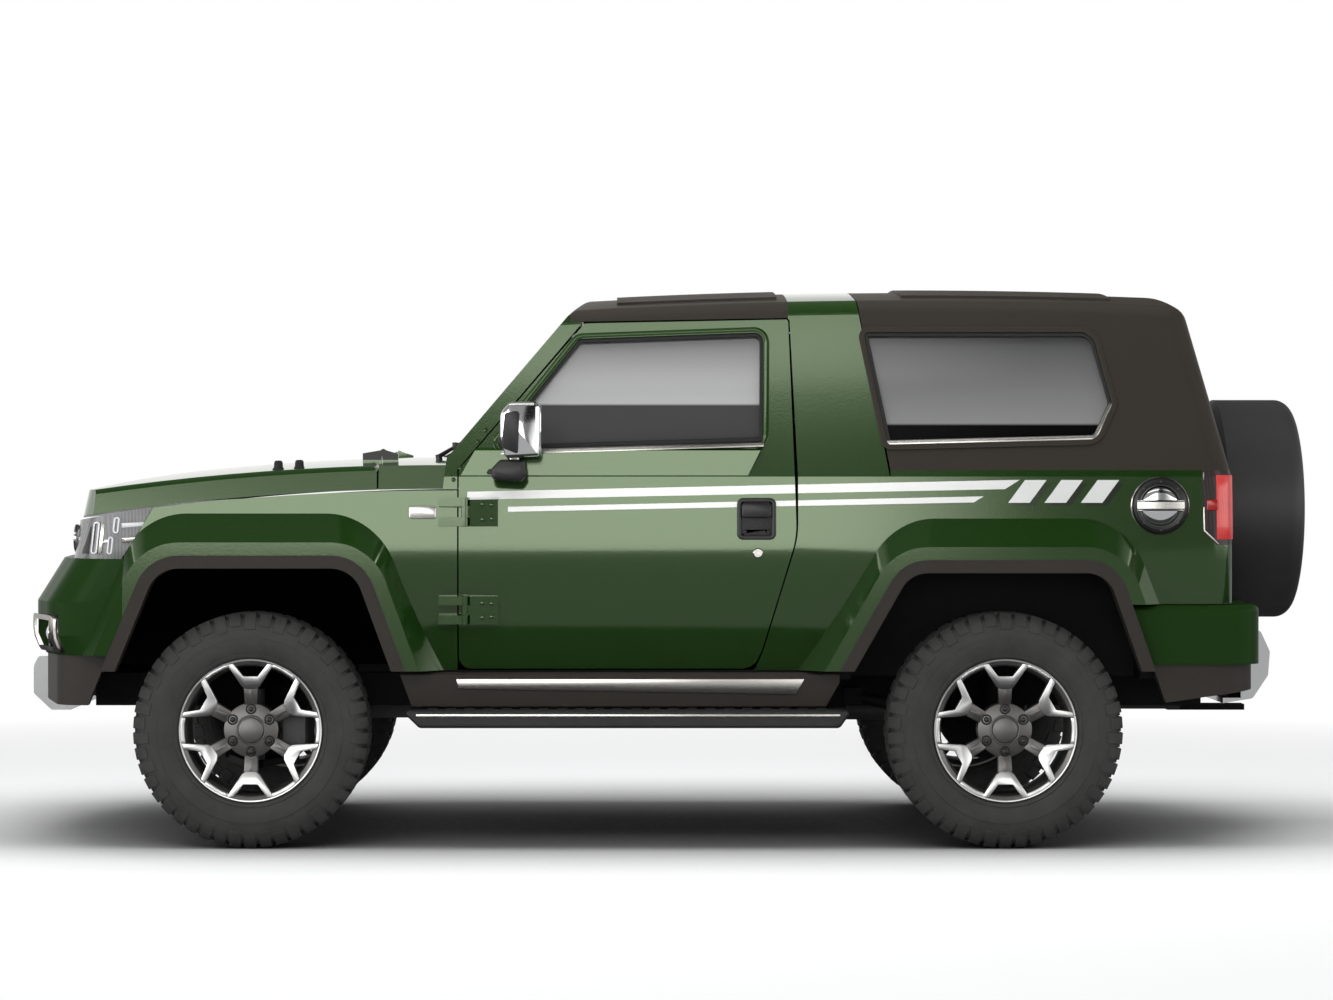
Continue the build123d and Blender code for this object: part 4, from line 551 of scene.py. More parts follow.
greenPaint = paintFinish("greenPaint")
stripedPaint = paintFinish("stripedPaint", striped=True)
hoodPaint = paintFinish("hoodPaint", hinged=True)
bumperPaint = paintFinish("bumperPaint", rough=0.34, level=0.08)
linerBlack = grainedFinish("linerBlack", (0.003, 0.003, 0.003), 0.9, 300.0, 0.0004)
coverVinyl = grainedFinish("coverVinyl", (0.026, 0.026, 0.026), 0.50, 300.0, 0.0004)
bronzeTrim = grainedFinish("bronzeTrim", (0.030, 0.026, 0.022), 0.52, 600.0, 0.0003, vary=0.12)
bronzeSatin = grainedFinish("bronzeSatin", (0.030, 0.025, 0.020), 0.42, 260.0, 0.0001, vary=0.06)
blackPlastic = grainedFinish("blackPlastic", (0.016, 0.016, 0.016), 0.55, 800.0, 0.0006)
blackSatin = grainedFinish("blackSatin", (0.011, 0.011, 0.011), 0.38, 300.0, 0.0002)
rubberTrim = grainedFinish("rubberTrim", (0.010, 0.010, 0.010), 0.62, 500.0, 0.0004)
chassisBlack = grainedFinish("chassisBlack", (0.006, 0.006, 0.006), 0.6, 120.0, 0.0010)
castMetal = grainedFinish("castMetal", (0.10, 0.10, 0.10), 0.6, 240.0, 0.0012, metal=0.7)
chromeMetal = brushedFinish("chromeMetal", (0.86, 0.87, 0.88), 0.08)
satinSilver = brushedFinish("satinSilver", (0.62, 0.60, 0.57), 0.26)
machinedSilver = brushedFinish("machinedSilver", (0.72, 0.72, 0.72), 0.34)
hubGrey = grainedFinish("hubGrey", (0.16, 0.155, 0.15), 0.38, 500.0, 0.0001, metal=0.75)
boltMetal = brushedFinish("boltMetal", (0.10, 0.10, 0.10), 0.35)
exhaustMetal = brushedFinish("exhaustMetal", (0.30, 0.29, 0.28), 0.42)
tyreRubber = tyreFinish("tyreRubber")
# each pane is painted lighter at its foot than at its top, a painted reflection
doorPane = paneFinish(
    "doorPane", 1.44, 1.67, (0.50, 0.50, 0.50), (0.10, 0.10, 0.10), 1.443, (0.055, 0.055, 0.056)
)
rearPane = paneFinish(
    "rearPane", 1.38, 1.67, (0.26, 0.26, 0.26), (0.08, 0.08, 0.08), 1.378, (0.004, 0.004, 0.004)
)
screenPane = paneFinish(
    "screenPane", 1.28, 1.72, (0.20, 0.20, 0.20), (0.08, 0.08, 0.08), 1.20, (0.02, 0.02, 0.02)
)
lampClear = lensFinish("lampClear", (0.24, 0.24, 0.25), (0.045, 0.045, 0.048))
lampSmoke = lensFinish("lampSmoke", (0.060, 0.045, 0.045), (0.020, 0.014, 0.014))
lampRed = lensFinish("lampRed", (0.80, 0.075, 0.070), (0.52, 0.030, 0.028))
lampDeep = lensFinish("lampDeep", (0.42, 0.006, 0.006), (0.26, 0.003, 0.003))
lampGlow = lensFinish("lampGlow", (0.88, 0.89, 0.90), (0.74, 0.75, 0.76))
mirrorGlass = brushedFinish("mirrorGlass", (0.80, 0.82, 0.84), 0.03)
seatLeather = leatherFinish("seatLeather", (0.020, 0.019, 0.018))
seatCloth = weaveFinish("seatCloth", (0.028, 0.028, 0.030))
dashGrain = leatherFinish("dashGrain", (0.014, 0.014, 0.015), 0.6)

glareRows = (
    (bronzeSatin, 0.22), (bronzeTrim, 0.25), (linerBlack, 0.03), (rearPane, 0.25), (doorPane, 0.35),
    (lampSmoke, 0.1), (chassisBlack, 0.1),
)
for finish, level in glareRows:
    finish.node_tree.nodes["Principled BSDF"].inputs["Specular IOR Level"].default_value = level

nodeFinish = {
    stripedPaint: ("door_left", "door_right", "rear_quarters"),
    greenPaint: ("windscreen_frame", "roof_hoop", "tailgate", "front_fenders"),
    hoodPaint: ("hood", "cowl"),
    bumperPaint: ("front_bumper", "rear_bumper"),
    bronzeTrim: ("arch_lips", "valances", "sills"),
    bronzeSatin: ("roof_front", "hardtop"),
    blackPlastic: ("front_panel", "side_steps", "fuel_tank"),
    linerBlack: ("wheel_liners",),
    dashGrain: ("dashboard", "steering_wheel"),
    coverVinyl: ("spare_cover",),
    chromeMetal: ("guards", "mirror_left", "mirror_right", "fuel_filler"),
    doorPane: ("door_glass_left", "door_glass_right"),
    rearPane: ("side_glass", "tailgate_glass"),
    screenPane: ("windscreen",),
    lampClear: ("head_lamps",),
    lampSmoke: ("tail_lamps", "fog_lamps"),
    tyreRubber: ("tyre_front_left", "tyre_front_right", "tyre_rear_left", "tyre_rear_right"),
    hubGrey: ("rim_front_left", "rim_front_right", "rim_rear_left", "rim_rear_right"),
    chassisBlack: ("floor_pan", "frame_rails", "frame_beams", "front_suspension", "rear_axle"),
    castMetal: ("powertrain", "knuckle_left", "knuckle_right"),
    exhaustMetal: ("exhaust",),
    seatLeather: ("front_seats", "rear_bench"),
}
for finish, names in nodeFinish.items():
    for name in names:
        nodes[name].data.materials.clear()
        nodes[name].data.materials.append(finish)
print("finishes on", sum(len(names) for names in nodeFinish.values()), "nodes")


# places measured along the vehicle
axleFront = -1.375
axleRear = 1.075
wheelOut = 0.765
wheelRise = 0.383
tailX = 1.822
bumperX = -2.132
leftWheel = Vector((axleFront, -wheelOut, wheelRise))
wheelAxis = (0, 1, 0)


def aroundWheel(radius, degrees, out):  # a point on the front left wheel, degrees from its top
    angle = math.radians(degrees)
    return leftWheel + Vector((radius * math.sin(angle), out, radius * math.cos(angle)))


def onWheels(obj, stem, finish, angle=35, stands=None):  # the piece on all four wheels
    places = {
        "FrontLeft": obj,
        "RearLeft": copyOf(obj, stem + "RearLeft", (axleRear - axleFront, 0, 0)),
    }
    places["FrontRight"] = mirrorOf(obj, stem + "FrontRight")
    places["RearRight"] = mirrorOf(places["RearLeft"], stem + "RearRight")
    obj.name = stem + "FrontLeft"
    for place, piece in places.items():
        corner = place.replace("Left", "_left").replace("Right", "_right").lower()
        dress(piece, finish, "wheel_" + corner, angle)
        if stands:
            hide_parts(stands + "_" + corner)


# tyres with an all-terrain tread
tyreLook = {
    "half": (
        (0.2165, 0.0985), (0.2320, 0.0995), (0.2385, 0.1110), (0.2480, 0.1165), (0.2510, 0.1150),
        (0.2545, 0.1175), (0.2660, 0.1255), (0.2800, 0.1305), (0.2960, 0.1325), (0.3010, 0.1325),
        (0.3025, 0.1305), (0.3160, 0.1300), (0.3360, 0.1262), (0.3500, 0.1190), (0.3600, 0.1105),
        (0.3680, 0.0970), (0.3712, 0.0800), (0.3725, 0.0400),
    ),
    "steps": 96,
    "lugs": 23,
    "lugWidth": 0.038,
    "longLug": (
        (0.0560, 0.3690), (0.0560, 0.3822), (0.0965, 0.3822),
        (0.1212, 0.3545), (0.1312, 0.3290), (0.1230, 0.3270),
    ),
    "shortLug": (
        (0.0620, 0.3690), (0.0620, 0.3818), (0.0960, 0.3818),
        (0.1205, 0.3550), (0.1275, 0.3410), (0.1200, 0.3400),
    ),
    "outerBlock": ((-0.019, 0.010), (0.017, 0.016), (0.019, 0.048), (-0.015, 0.044)),
    "midBlock": ((-0.024, -0.012), (0.010, -0.018), (0.022, 0.012), (-0.010, 0.018)),
    "outerRise": (0.3700, 0.0122),
    "midRise": (0.3705, 0.0115),
    "bevel": 0.0018,
}


def wheelTurned(name, profile, steps, closed=True):  # radius and out of a profile turned about the axle
    points = [aroundWheel(r, 0, y) for r, y in profile]
    return spinProfile(name, points, leftWheel, wheelAxis, steps, closed)


def lugRing(points, push, turns):  # a lug repeated round the tyre, half pitches from the top
    lug = soften(addPlate("lug", points, push), tyreLook["bevel"], 1)
    lug = turnPiece(lug, math.radians(turns * 360 / tyreLook["lugs"] / 2), "Y", leftWheel)
    return copyRound(lug, tyreLook["lugs"], leftWheel, wheelAxis)


half = [(radius, -out) for radius, out in tyreLook["half"]]
loop = half + [(radius, -out) for radius, out in reversed(half)]
treads = [wheelTurned("tyreBody", loop, tyreLook["steps"])]
wide = tyreLook["lugWidth"]
foot, rise = tyreLook["outerRise"]
for side in (-1, 1):
    for number, kind in enumerate(("longLug", "shortLug")):
        points = [aroundWheel(r, 0, side * y) - Vector((wide / 2, 0, 0)) for y, r in tyreLook[kind]]
        treads.append(lugRing(points, (wide, 0, 0), number + (0.25 if side > 0 else 0)))
    for number in range(2):
        points = [leftWheel + Vector((x, side * y, foot)) for x, y in tyreLook["outerBlock"]]
        treads.append(lugRing(points, (0, 0, rise), number + 0.5 + 0.25 * side))
foot, rise = tyreLook["midRise"]
for number in range(2):
    points = [leftWheel + Vector((x, y, foot)) for x, y in tyreLook["midBlock"]]
    treads.append(lugRing(points, (0, 0, rise), number))
tyrePiece = joinAll("treadTyreFrontLeft", treads)
onWheels(tyrePiece, "treadTyre", tyreRubber, 40, "tyre")
print("tyres done")

# rims with six forked spokes
rimLook = {
    "barrel": (
        (0.2330, -0.1108), (0.2330, -0.1050), (0.2165, -0.0980), (0.2165, 0.0980), (0.2330, 0.1050),
        (0.2330, 0.1105), (0.2260, 0.1105), (0.2090, 0.0960), (0.2040, 0.0000), (0.2090, -0.0900),
        (0.2140, -0.1040), (0.2250, -0.1108),
    ),
    "hub": ((0.0320, -0.0200), (0.0320, -0.0860), (0.0840, -0.0860), (0.0880, -0.0835), (0.0880, -0.0200)),
    "fork": (
        (0.2258, 19.4), (0.2240, 14.4), (0.1770, 7.6), (0.1770, -7.6), (0.2240, -14.4),
        (0.2258, -19.4), (0.1450, -11.2), (0.1350, -6.6), (0.1350, 6.6), (0.1450, 11.2),
    ),
    "band": (0.2150, 0.2262, 19.0, 41.0),
    "stem": ((0.142, 9.4), (0.142, -9.4), (0.084, -14.0), (0.084, 14.0)),
    "ridge": ((0.132, 2.0), (0.132, -2.0), (0.094, -5.5), (0.094, 5.5)),
    "lip": (
        (0.2255, -0.1070), (0.2318, -0.1070), (0.2330, -0.1100),
        (0.2310, -0.1122), (0.2275, -0.1118), (0.2258, -0.1100),
    ),
    "cap": (
        (0.0, -0.0955), (0.034, -0.0950), (0.040, -0.0930),
        (0.0425, -0.0890), (0.0425, -0.0600), (0.0, -0.0600),
    ),
    "spokes": 6,
    "nutRing": 0.0690,
    "faceLift": -0.0030,
}


def spokeFace(radius):
    return -(0.0860 + 0.022 * (radius - 0.084) / 0.125)


def spokePlate(name, points, lift, deep, bevel):
    loop = [aroundWheel(r, a, spokeFace(r) + lift) for r, a in points]
    return soften(addPlate(name, loop, (0, deep, 0)), bevel, 2, 40)


def spokesRound(name, parts):
    return copyRound(joinAll(name, parts), rimLook["spokes"], leftWheel, wheelAxis)


barrel = wheelTurned("barrel", rimLook["barrel"], 96)
hub = wheelTurned("hub", rimLook["hub"], 64)
onWheels(joinAll("barrelHub", [barrel, hub]), "rimBarrel", hubGrey, 35, "rim")
spoke = [
    spokePlate("stem", rimLook["stem"], 0.0, 0.034, 0.003),
    spokePlate("ridge", rimLook["ridge"], -0.0035, 0.010, 0.0016),
    spokePlate("forkBack", rimLook["fork"], 0.0, 0.030, 0.002),
]
onWheels(spokesRound("spoke", spoke), "rimSpoke", hubGrey)
low, high, start, end = rimLook["band"]
turns = [start + (end - start) * step / 8 for step in range(9)]
bandLoop = [(high, a) for a in turns] + [(low, a) for a in reversed(turns)]
face = [
    spokePlate("fork", rimLook["fork"], rimLook["faceLift"], 0.0045, 0.0012),
    spokePlate("band", bandLoop, rimLook["faceLift"], 0.0100, 0.0012),
]
onWheels(spokesRound("face", face), "rimFork", machinedSilver)
onWheels(wheelTurned("lip", rimLook["lip"], 96), "rimLip", machinedSilver)
nutAt = rimLook["nutRing"]
nut = addTube("nut", aroundWheel(nutAt, 0, -0.080), aroundWheel(nutAt, 0, -0.0985), 0.0108, 6, 0.0092)
soften(nut, 0.0016, 2, 25)
seat = addRing("seat", aroundWheel(nutAt, 0, -0.0855), 0.0150, 0.0030, "Y", 24, 8)
onWheels(spokesRound("nutSeat", [nut, seat]), "rimNut", blackSatin)
cap = wheelTurned("cap", rimLook["cap"], 48, False)
capEdge = addRing("capEdge", aroundWheel(0, 0, -0.0865), 0.0470, 0.0026, "Y", 48, 8)
onWheels(joinAll("capRing", [cap, capEdge]), "rimCap", hubGrey)
print("rims done")


# the side's shape, which pieces are laid on
def sideOut(x, z):
    if z > 1.207:
        return 0.848 - 0.294 * (z - 1.207)
    return 0.86228 - 0.242 * (z - 0.9641) ** 2


def lampOut(x, z):
    back = x - 0.16 * (z - 0.940)
    if back > -1.825:
        return 0.847
    return 0.727 + math.sqrt(max(0.0, 0.0144 - (back + 1.825) ** 2))


def lay(obj, surface):  # a flat piece modelled at Y = 0 is moved onto the left side
    openEdit(obj)
    moveVerts(obj, lambda co: co - Vector((0, surface(co.x, co.z), 0)))
    closeEdit()
    return tidyNormals(obj)


def roundLoop(points, radii, steps=5):  # corners of an outline made round
    result = []
    count = len(points)
    for number, (point, radius) in enumerate(zip(points, radii)):
        here = Vector(point)
        before = (Vector(points[number - 1]) - here).normalized()
        after = (Vector(points[(number + 1) % count]) - here).normalized()
        opening = before.angle(after)
        if radius <= 0:
            result.append(here)
            continue
        reach = radius / math.tan(opening / 2)
        middle = here + (before + after).normalized() * radius / math.sin(opening / 2)
        first = here + before * reach - middle
        last = here + after * reach - middle
        for step in range(steps + 1):
            result.append(middle + first.lerp(last, step / steps).normalized() * radius)
    return result


def widen(points, amount):  # an outline moved outwards by the same amount all round
    count = len(points)
    centre = sum((Vector(p) for p in points), Vector((0, 0))) / count
    result = []
    for number in range(count):
        lines = []
        before, here, after = points[number - 1], points[number], points[(number + 1) % count]
        for first, second in ((before, here), (here, after)):
            way = (Vector(second) - Vector(first)).normalized()
            normal = Vector((way.y, -way.x))
            if normal.dot(Vector(first) - centre) < 0:
                normal = -normal
            lines.append((Vector(first) + normal * amount, way))
        (p, d), (q, e) = lines
        turn = d.x * e.y - d.y * e.x
        offset = q - p
        result.append(p + d * ((offset.x * e.y - offset.y * e.x) / turn))
    return result


def flat(points, depth=0.0):  # side-view points at Y = depth
    return [Vector((p[0], depth, p[1])) for p in points]


def addFrame(name, points, width, depth, push):  # a ring: outline filled, inset, middle taken out, pushed
    obj = addPlate(name, flat(points, depth), None)
    openEdit(obj)
    bpy.ops.mesh.select_mode(type="FACE")
    bpy.ops.mesh.select_all(action="SELECT")
    bpy.ops.mesh.inset(thickness=width)
    bpy.ops.mesh.delete(type="FACE")
    bpy.ops.mesh.select_all(action="SELECT")
    bpy.ops.mesh.extrude_region_move(TRANSFORM_OT_translate={"value": (0, push, 0)})
    bpy.ops.mesh.select_all(action="SELECT")
    bpy.ops.mesh.normals_make_consistent(inside=False)
    closeEdit()
    return obj


def slab(name, points, depth, push, bevel=0.0015, radii=None):  # a plate with eased edges
    loop = roundLoop(points, radii or [0.0] * len(points))
    return soften(addPlate(name, flat(loop, depth), (0, push, 0)), bevel, 2)


def box2(x0, z0, x1, z1):
    return ((x0, z0), (x1, z0), (x1, z1), (x0, z1))


def slabPair(stem, shape, finish, bodies, surface=None, angle=35):  # a slab on both sides
    piece = slab(stem + "Left", *shape)
    if surface:
        lay(piece, surface)
    return dressPair(piece, stem + "Right", finish, bodies, angle)


def turnedAcross(name, profile, x, z, steps, closed=False, shift=0.0):  # turned about a line along Y
    points = [Vector((x, y + shift, z + r)) for r, y in profile]
    return spinProfile(name, points, (x, 0, z), wheelAxis, steps, closed)


doors = ("door_left", "door_right")
chassis = ("chassis", "chassis")

# window frames, seals and bright strips
windowLook = {
    "door": ((-0.598, 1.290), (-0.3102, 1.658), (0.295, 1.680), (0.289, 1.318)),
    "doorRadii": (0.025, 0.030, 0.030, 0.025),
    "rear": ((0.626, 1.680), (1.350, 1.680), (1.381, 1.655), (1.432, 1.445), (1.375, 1.330), (0.697, 1.313)),
    "rearRadii": (0.014, 0.030, 0.030, 0.040, 0.040, 0.014),
    "rim": 0.020,
    "seal": 0.011,
}
for kind, bodies, finish, slotName in (
    ("door", doors, greenPaint, "green_paint"),
    ("rear", chassis, bronzeSatin, "dark_trim"),
):
    points = windowLook[kind]
    radii = windowLook[kind + "Radii"]
    rim = windowLook["rim"]
    edge = roundLoop(widen(points, rim), [r + rim for r in radii], 7)
    raised = soften(addFrame("raised", edge, rim - 0.0005, 0.004, -0.009), 0.0035, 3)
    dressPair(lay(raised, sideOut), kind + "WindowRimRight", finish, bodies)
    raised.name = kind + "WindowRimLeft"
    seal = addFrame("seal", roundLoop(points, radii, 7), windowLook["seal"], -0.001, 0.0125)
    soften(seal, 0.0018, 2)
    dressPair(lay(seal, sideOut), kind + "WindowSealRight", rubberTrim, bodies)
    seal.name = kind + "WindowSealLeft"
beltSeal = ((-0.560, 1.297), (0.290, 1.322), (0.290, 1.336), (-0.552, 1.311))
slabPair("beltSeal", (beltSeal, 0.002, -0.009, 0.003), rubberTrim, doors, sideOut)
beltStrip = ((-0.566, 1.279), (0.292, 1.304), (0.292, 1.321), (-0.560, 1.296))
slabPair("beltStrip", (beltStrip, 0.002, -0.022, 0.003), satinSilver, doors, sideOut)
rearStrip = ((0.690, 1.311), (1.377, 1.328), (1.436, 1.447), (1.424, 1.452), (1.368, 1.343), (0.690, 1.326))
slabPair("rearStrip", (rearStrip, 0.006, -0.010, 0.002), satinSilver, chassis, sideOut)
print("window trims done")

# door handle and lock
handleLook = {
    "frame": box2(0.204, 1.002, 0.331, 1.138),
    "paddle": ((0.219, 1.074), (0.316, 1.074), (0.316, 1.118), (0.219, 1.122)),
    "lock": (0.272, 0.959),
    "lockProfile": (
        (0.0, -0.003), (0.007, -0.003), (0.008, -0.0055), (0.013, -0.0055),
        (0.0165, -0.002), (0.0165, 0.003), (0.0, 0.003),
    ),
}
frameLoop = roundLoop(handleLook["frame"], (0.020,) * 4)
handleFrame = soften(addFrame("handleFrame", frameLoop, 0.014, 0.002, -0.012), 0.003, 3)
dressPair(lay(handleFrame, sideOut), "handleFrameRight", blackSatin, doors)
dish = addPlate("dish", flat(frameLoop, -0.001), None)
openEdit(dish)
bpy.ops.mesh.inset(thickness=0.013)
bpy.ops.mesh.inset(thickness=0.020, depth=0.0)
bpy.ops.transform.translate(value=(0, -0.002, 0))
closeEdit()
dressPair(lay(dish, sideOut), "handleDishRight", blackPlastic, doors)
paddle = slab("paddle", handleLook["paddle"], -0.006, -0.013, 0.004, (0.010,) * 4)
dressPair(lay(paddle, sideOut), "handlePaddleRight", blackSatin, doors)
lock = turnedAcross("lock", handleLook["lockProfile"], *handleLook["lock"], 32)
dressPair(lay(lock, sideOut), "doorLockRight", satinSilver, doors)

# hinge bolts, pillar rivets and the blank fender plate
boltRows = (
    (-0.622, 1.117), (-0.592, 1.115), (-0.622, 1.068), (-0.592, 1.070),
    (-0.622, 0.797), (-0.592, 0.795), (-0.622, 0.750), (-0.592, 0.752),
)
bolts = []
for x, z in boltRows:
    out = 0.884 - 0.014 * (x + 0.679) / 0.107
    bolt = addTube("bolt", (x, -out + 0.001, z), (x, -out - 0.005, z), 0.0075, 12, 0.006)
    bolts.append(soften(bolt, 0.0015, 2, 25))
dressPair(joinAll("hingeBoltLeft", bolts), "hingeBoltRight", greenPaint, doors)
rivetRows = ((-0.717, 1.197), (-0.695, 1.235), (-0.639, 1.322), (-0.615, 1.360))
rivetProfile = (
    (0.0, -0.0050), (0.0035, -0.0046), (0.0062, -0.0030), (0.0075, 0.0005), (0.0075, 0.003), (0.0, 0.003),
)
rivets = [lay(turnedAcross("rivet", rivetProfile, x, z, 20), sideOut) for x, z in rivetRows]
dressPair(joinAll("pillarRivetLeft", rivets), "pillarRivetRight", greenPaint, chassis)
plateShape = (box2(-0.861, 1.070, -0.773, 1.112), 0.001, -0.006, 0.0022, (0.008,) * 4)
slabPair("fenderPlate", plateShape, satinSilver, chassis, sideOut)

# strips on the sills and steps
sillStrip = ((-0.700, 0.517), (0.396, 0.499), (0.424, 0.551), (-0.709, 0.551))
slabPair("sillStrip", (sillStrip, -0.8575, -0.006, 0.003), satinSilver, chassis)
stepStrip = box2(-0.835, 0.429, 0.535, 0.4405)
slabPair("stepStrip", (stepStrip, -0.927, -0.0052, 0.0015), satinSilver, chassis)
ribLook = {"count": 22, "from": -0.800, "pitch": 0.060, "long": 0.034}
treads = []
for number in range(ribLook["count"]):
    x = ribLook["from"] + number * ribLook["pitch"]
    rib = addBlock("rib", (x, -0.915, 0.4515), (x + ribLook["long"], -0.790, 0.4555))
    treads.append(soften(rib, 0.0015, 1))
dressPair(joinAll("stepRibLeft", treads), "stepRibRight", rubberTrim, chassis)
print("side trims done")

# fuel cap with its bar
capX, capZ = 1.578, 1.112
capSide = -0.857
capRing = (
    (0.066, 0.003), (0.066, -0.012), (0.069, -0.018), (0.078, -0.020),
    (0.087, -0.016), (0.0905, -0.008), (0.0905, 0.003),
)
capEdge = ((0.0905, 0.003), (0.0905, -0.006), (0.0925, -0.0085), (0.0950, -0.006), (0.0955, 0.003))
capFace = (
    (0.0, -0.013), (0.040, -0.0125), (0.056, -0.0100), (0.0635, -0.005), (0.0640, 0.003), (0.0, 0.003),
)
capRows = (
    ("capRing", capRing, blackSatin, True),
    ("capEdge", capEdge, satinSilver, True),
    ("capFace", capFace, chromeMetal, False),
)
for name, profile, finish, closed in capRows:
    ring = turnedAcross(name, profile, capX, capZ, 64, closed, capSide)
    dress(ring, finish, "chassis")
    if name == "capFace":
        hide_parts("fuel_filler")
barHalf = 0.077
bar = addBlock("capBar", (capX - barHalf, -0.8885, capZ - 0.016), (capX + barHalf, -0.8690, capZ + 0.019))


def barShape(co):  # narrower outside, with ends that fall away
    if co.y >= -0.880:
        return co
    fall = 0.006 * ((co.x - capX) / barHalf) ** 2
    return Vector((co.x, co.y + fall, capZ + (co.z - capZ) * 0.72))


openEdit(bar)
bpy.ops.mesh.subdivide(number_cuts=5)
moveVerts(bar, barShape)
closeEdit()
soften(bar, 0.004, 3, 40)
dress(bar, satinSilver, "chassis")
screwZ = capZ + 0.079
screw = addTube("capScrew", (capX, -0.8745, screwZ), (capX, -0.8785, screwZ), 0.0045, 12, 0.0036)
soften(screw, 0.001, 1, 25)
dress(copyRound(screw, 8, (capX, 0, capZ), (0, 1, 0)), boltMetal, "chassis")
print("fuel cap done")

# mirrors
mirrorX = -0.562
mirrorLook = {  # outline from mirrorX, corner radii
    "cap": (
        ((0.020, 1.266), (0.131, 1.272), (0.131, 1.447), (0.034, 1.446), (0.004, 1.412), (0.002, 1.330)),
        (0.016, 0.012, 0.022, 0.030, 0.040, 0.050),
    ),
    "foot": (
        ((-0.026, 1.196), (0.070, 1.190), (0.086, 1.215), (0.082, 1.262), (0.000, 1.262), (-0.028, 1.232)),
        (0.016, 0.020, 0.016, 0.012, 0.020, 0.014),
    ),
    "neck": (((0.030, 1.252), (0.062, 1.252), (0.062, 1.285), (0.030, 1.285)), (0.006,) * 4),
    "inlay": (
        ((0.006, 1.300), (0.060, 1.279), (0.066, 1.420), (0.018, 1.410)),
        (0.020, 0.006, 0.012, 0.010),
    ),
    "vane": (((-0.003, 1.318), (0.014, 1.292), (0.016, 1.404), (0.004, 1.398)), (0.004,) * 4),
}


def mirrorPair(kind, depth, push, bevel, finish, angle=35):
    points, radii = mirrorLook[kind]
    shape = ([(mirrorX + x, z) for x, z in points], depth, push, bevel, radii)
    return slabPair("mirror" + kind.title(), shape, finish, doors, None, angle)


mirrorCaps = mirrorPair("cap", -0.900, -0.170, 0.014, chromeMetal, 30)
for piece, side in zip(mirrorCaps, ("left", "right")):
    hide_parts("mirror_" + side)
mirrorPair("foot", -0.846, -0.150, 0.010, blackSatin, 30)
mirrorPair("neck", -0.915, -0.070, 0.006, satinSilver, 30)
mirrorPair("inlay", -1.0705, -0.0035, 0.0015, blackSatin)
mirrorPair("vane", -0.915, -0.142, 0.004, blackSatin)
pane = addBlock("mirrorPaneLeft", (mirrorX + 0.1302, -1.055, 1.285), (mirrorX + 0.1332, -0.915, 1.434))
soften(pane, 0.001, 2)
dressPair(pane, "mirrorPaneRight", mirrorGlass, doors)
sail = ((-0.614, 1.214), (-0.535, 1.214), (-0.535, 1.286), (-0.566, 1.292))
sailShape = (sail, 0.001, -0.006, 0.002, (0.006,) * 4)
slabPair("mirrorSail", sailShape, blackPlastic, doors, sideOut)
print("mirrors done")

# lights in the headlamps
guideRows = (  # name, x0, z0, x1, z1
    ("guideTall", -1.902, 0.955, -1.878, 1.060),
    ("guideUpper", -1.826, 1.022, -1.806, 1.076),
    ("guideLower", -1.846, 0.953, -1.827, 1.012),
)
for name, x0, z0, x1, z1 in guideRows:
    lean = 0.10 * (z1 - z0)
    points = ((x0, z0), (x1, z0), (x1 + lean, z1), (x0 + lean, z1))
    ring = soften(addFrame(name + "Left", roundLoop(points, (0.009,) * 4), 0.006, 0.002, -0.007), 0.0015, 2)
    dressPair(lay(ring, lampOut), name + "Right", lampGlow, chassis)
lightBar = ((-1.796, 1.041), (-1.722, 1.046), (-1.722, 1.059), (-1.796, 1.056))
slabPair("lampBar", (lightBar, 0.001, -0.004, 0.0015), lampGlow, chassis, lampOut)
lampShade = ((-1.936, 0.955), (-1.910, 0.955), (-1.900, 1.045), (-1.930, 1.040))
lampShelf = ((-1.860, 0.990), (-1.770, 0.992), (-1.748, 1.010), (-1.850, 1.004))
lampPleat = ((-1.874, 0.955), (-1.862, 0.955), (-1.852, 1.055), (-1.864, 1.055))
innerRows = (
    ("lampShade", lampShade, blackSatin, "black_plastic"),
    ("lampShelf", lampShelf, satinSilver, "chrome"),
    ("lampPleat", lampPleat, satinSilver, "chrome"),
)
for name, points, finish, slotName in innerRows:
    slabPair(name, (points, 0.001, -0.0035, 0.001), finish, chassis, lampOut)
lampZ = 1.003
for number, (out, radius) in enumerate(((0.640, 0.041), (0.540, 0.036))):
    x = -1.9815 + (out - 0.550) * 0.135
    bezel = addRing("lampBezel", (x, -out, lampZ), radius, 0.007, "X", 48, 10)
    bulb = addBall("bulb", (x + radius * 0.66, -out, lampZ), radius * 0.9, 12)
    dressPair(bezel, "lampBezelRight%d" % number, chromeMetal, chassis)
    bezel.name = "lampBezelLeft%d" % number
    soften(bulb, 0.0008, 1, 60)
    dressPair(bulb, "lampBulbRight%d" % number, lampGlow, chassis)
    bulb.name = "lampBulbLeft%d" % number
print("headlamps done")

# red blocks of the tail lamps
tailLook = {
    "low": 1.003, "high": 1.212, "corner": 0.070, "side": 0.8535, "start": 8, "end": 88,
    "outer": 0.073, "inner": 0.063, "cuts": (1.05, 1.09, 1.13, 1.17),
}
cornerAt = Vector((tailX - tailLook["corner"], -(tailLook["side"] - tailLook["corner"])))


def cornerPoint(angle, radius, z):
    turn = math.radians(angle)
    return Vector((cornerAt.x + radius * math.sin(turn), cornerAt.y - radius * math.cos(turn), z))


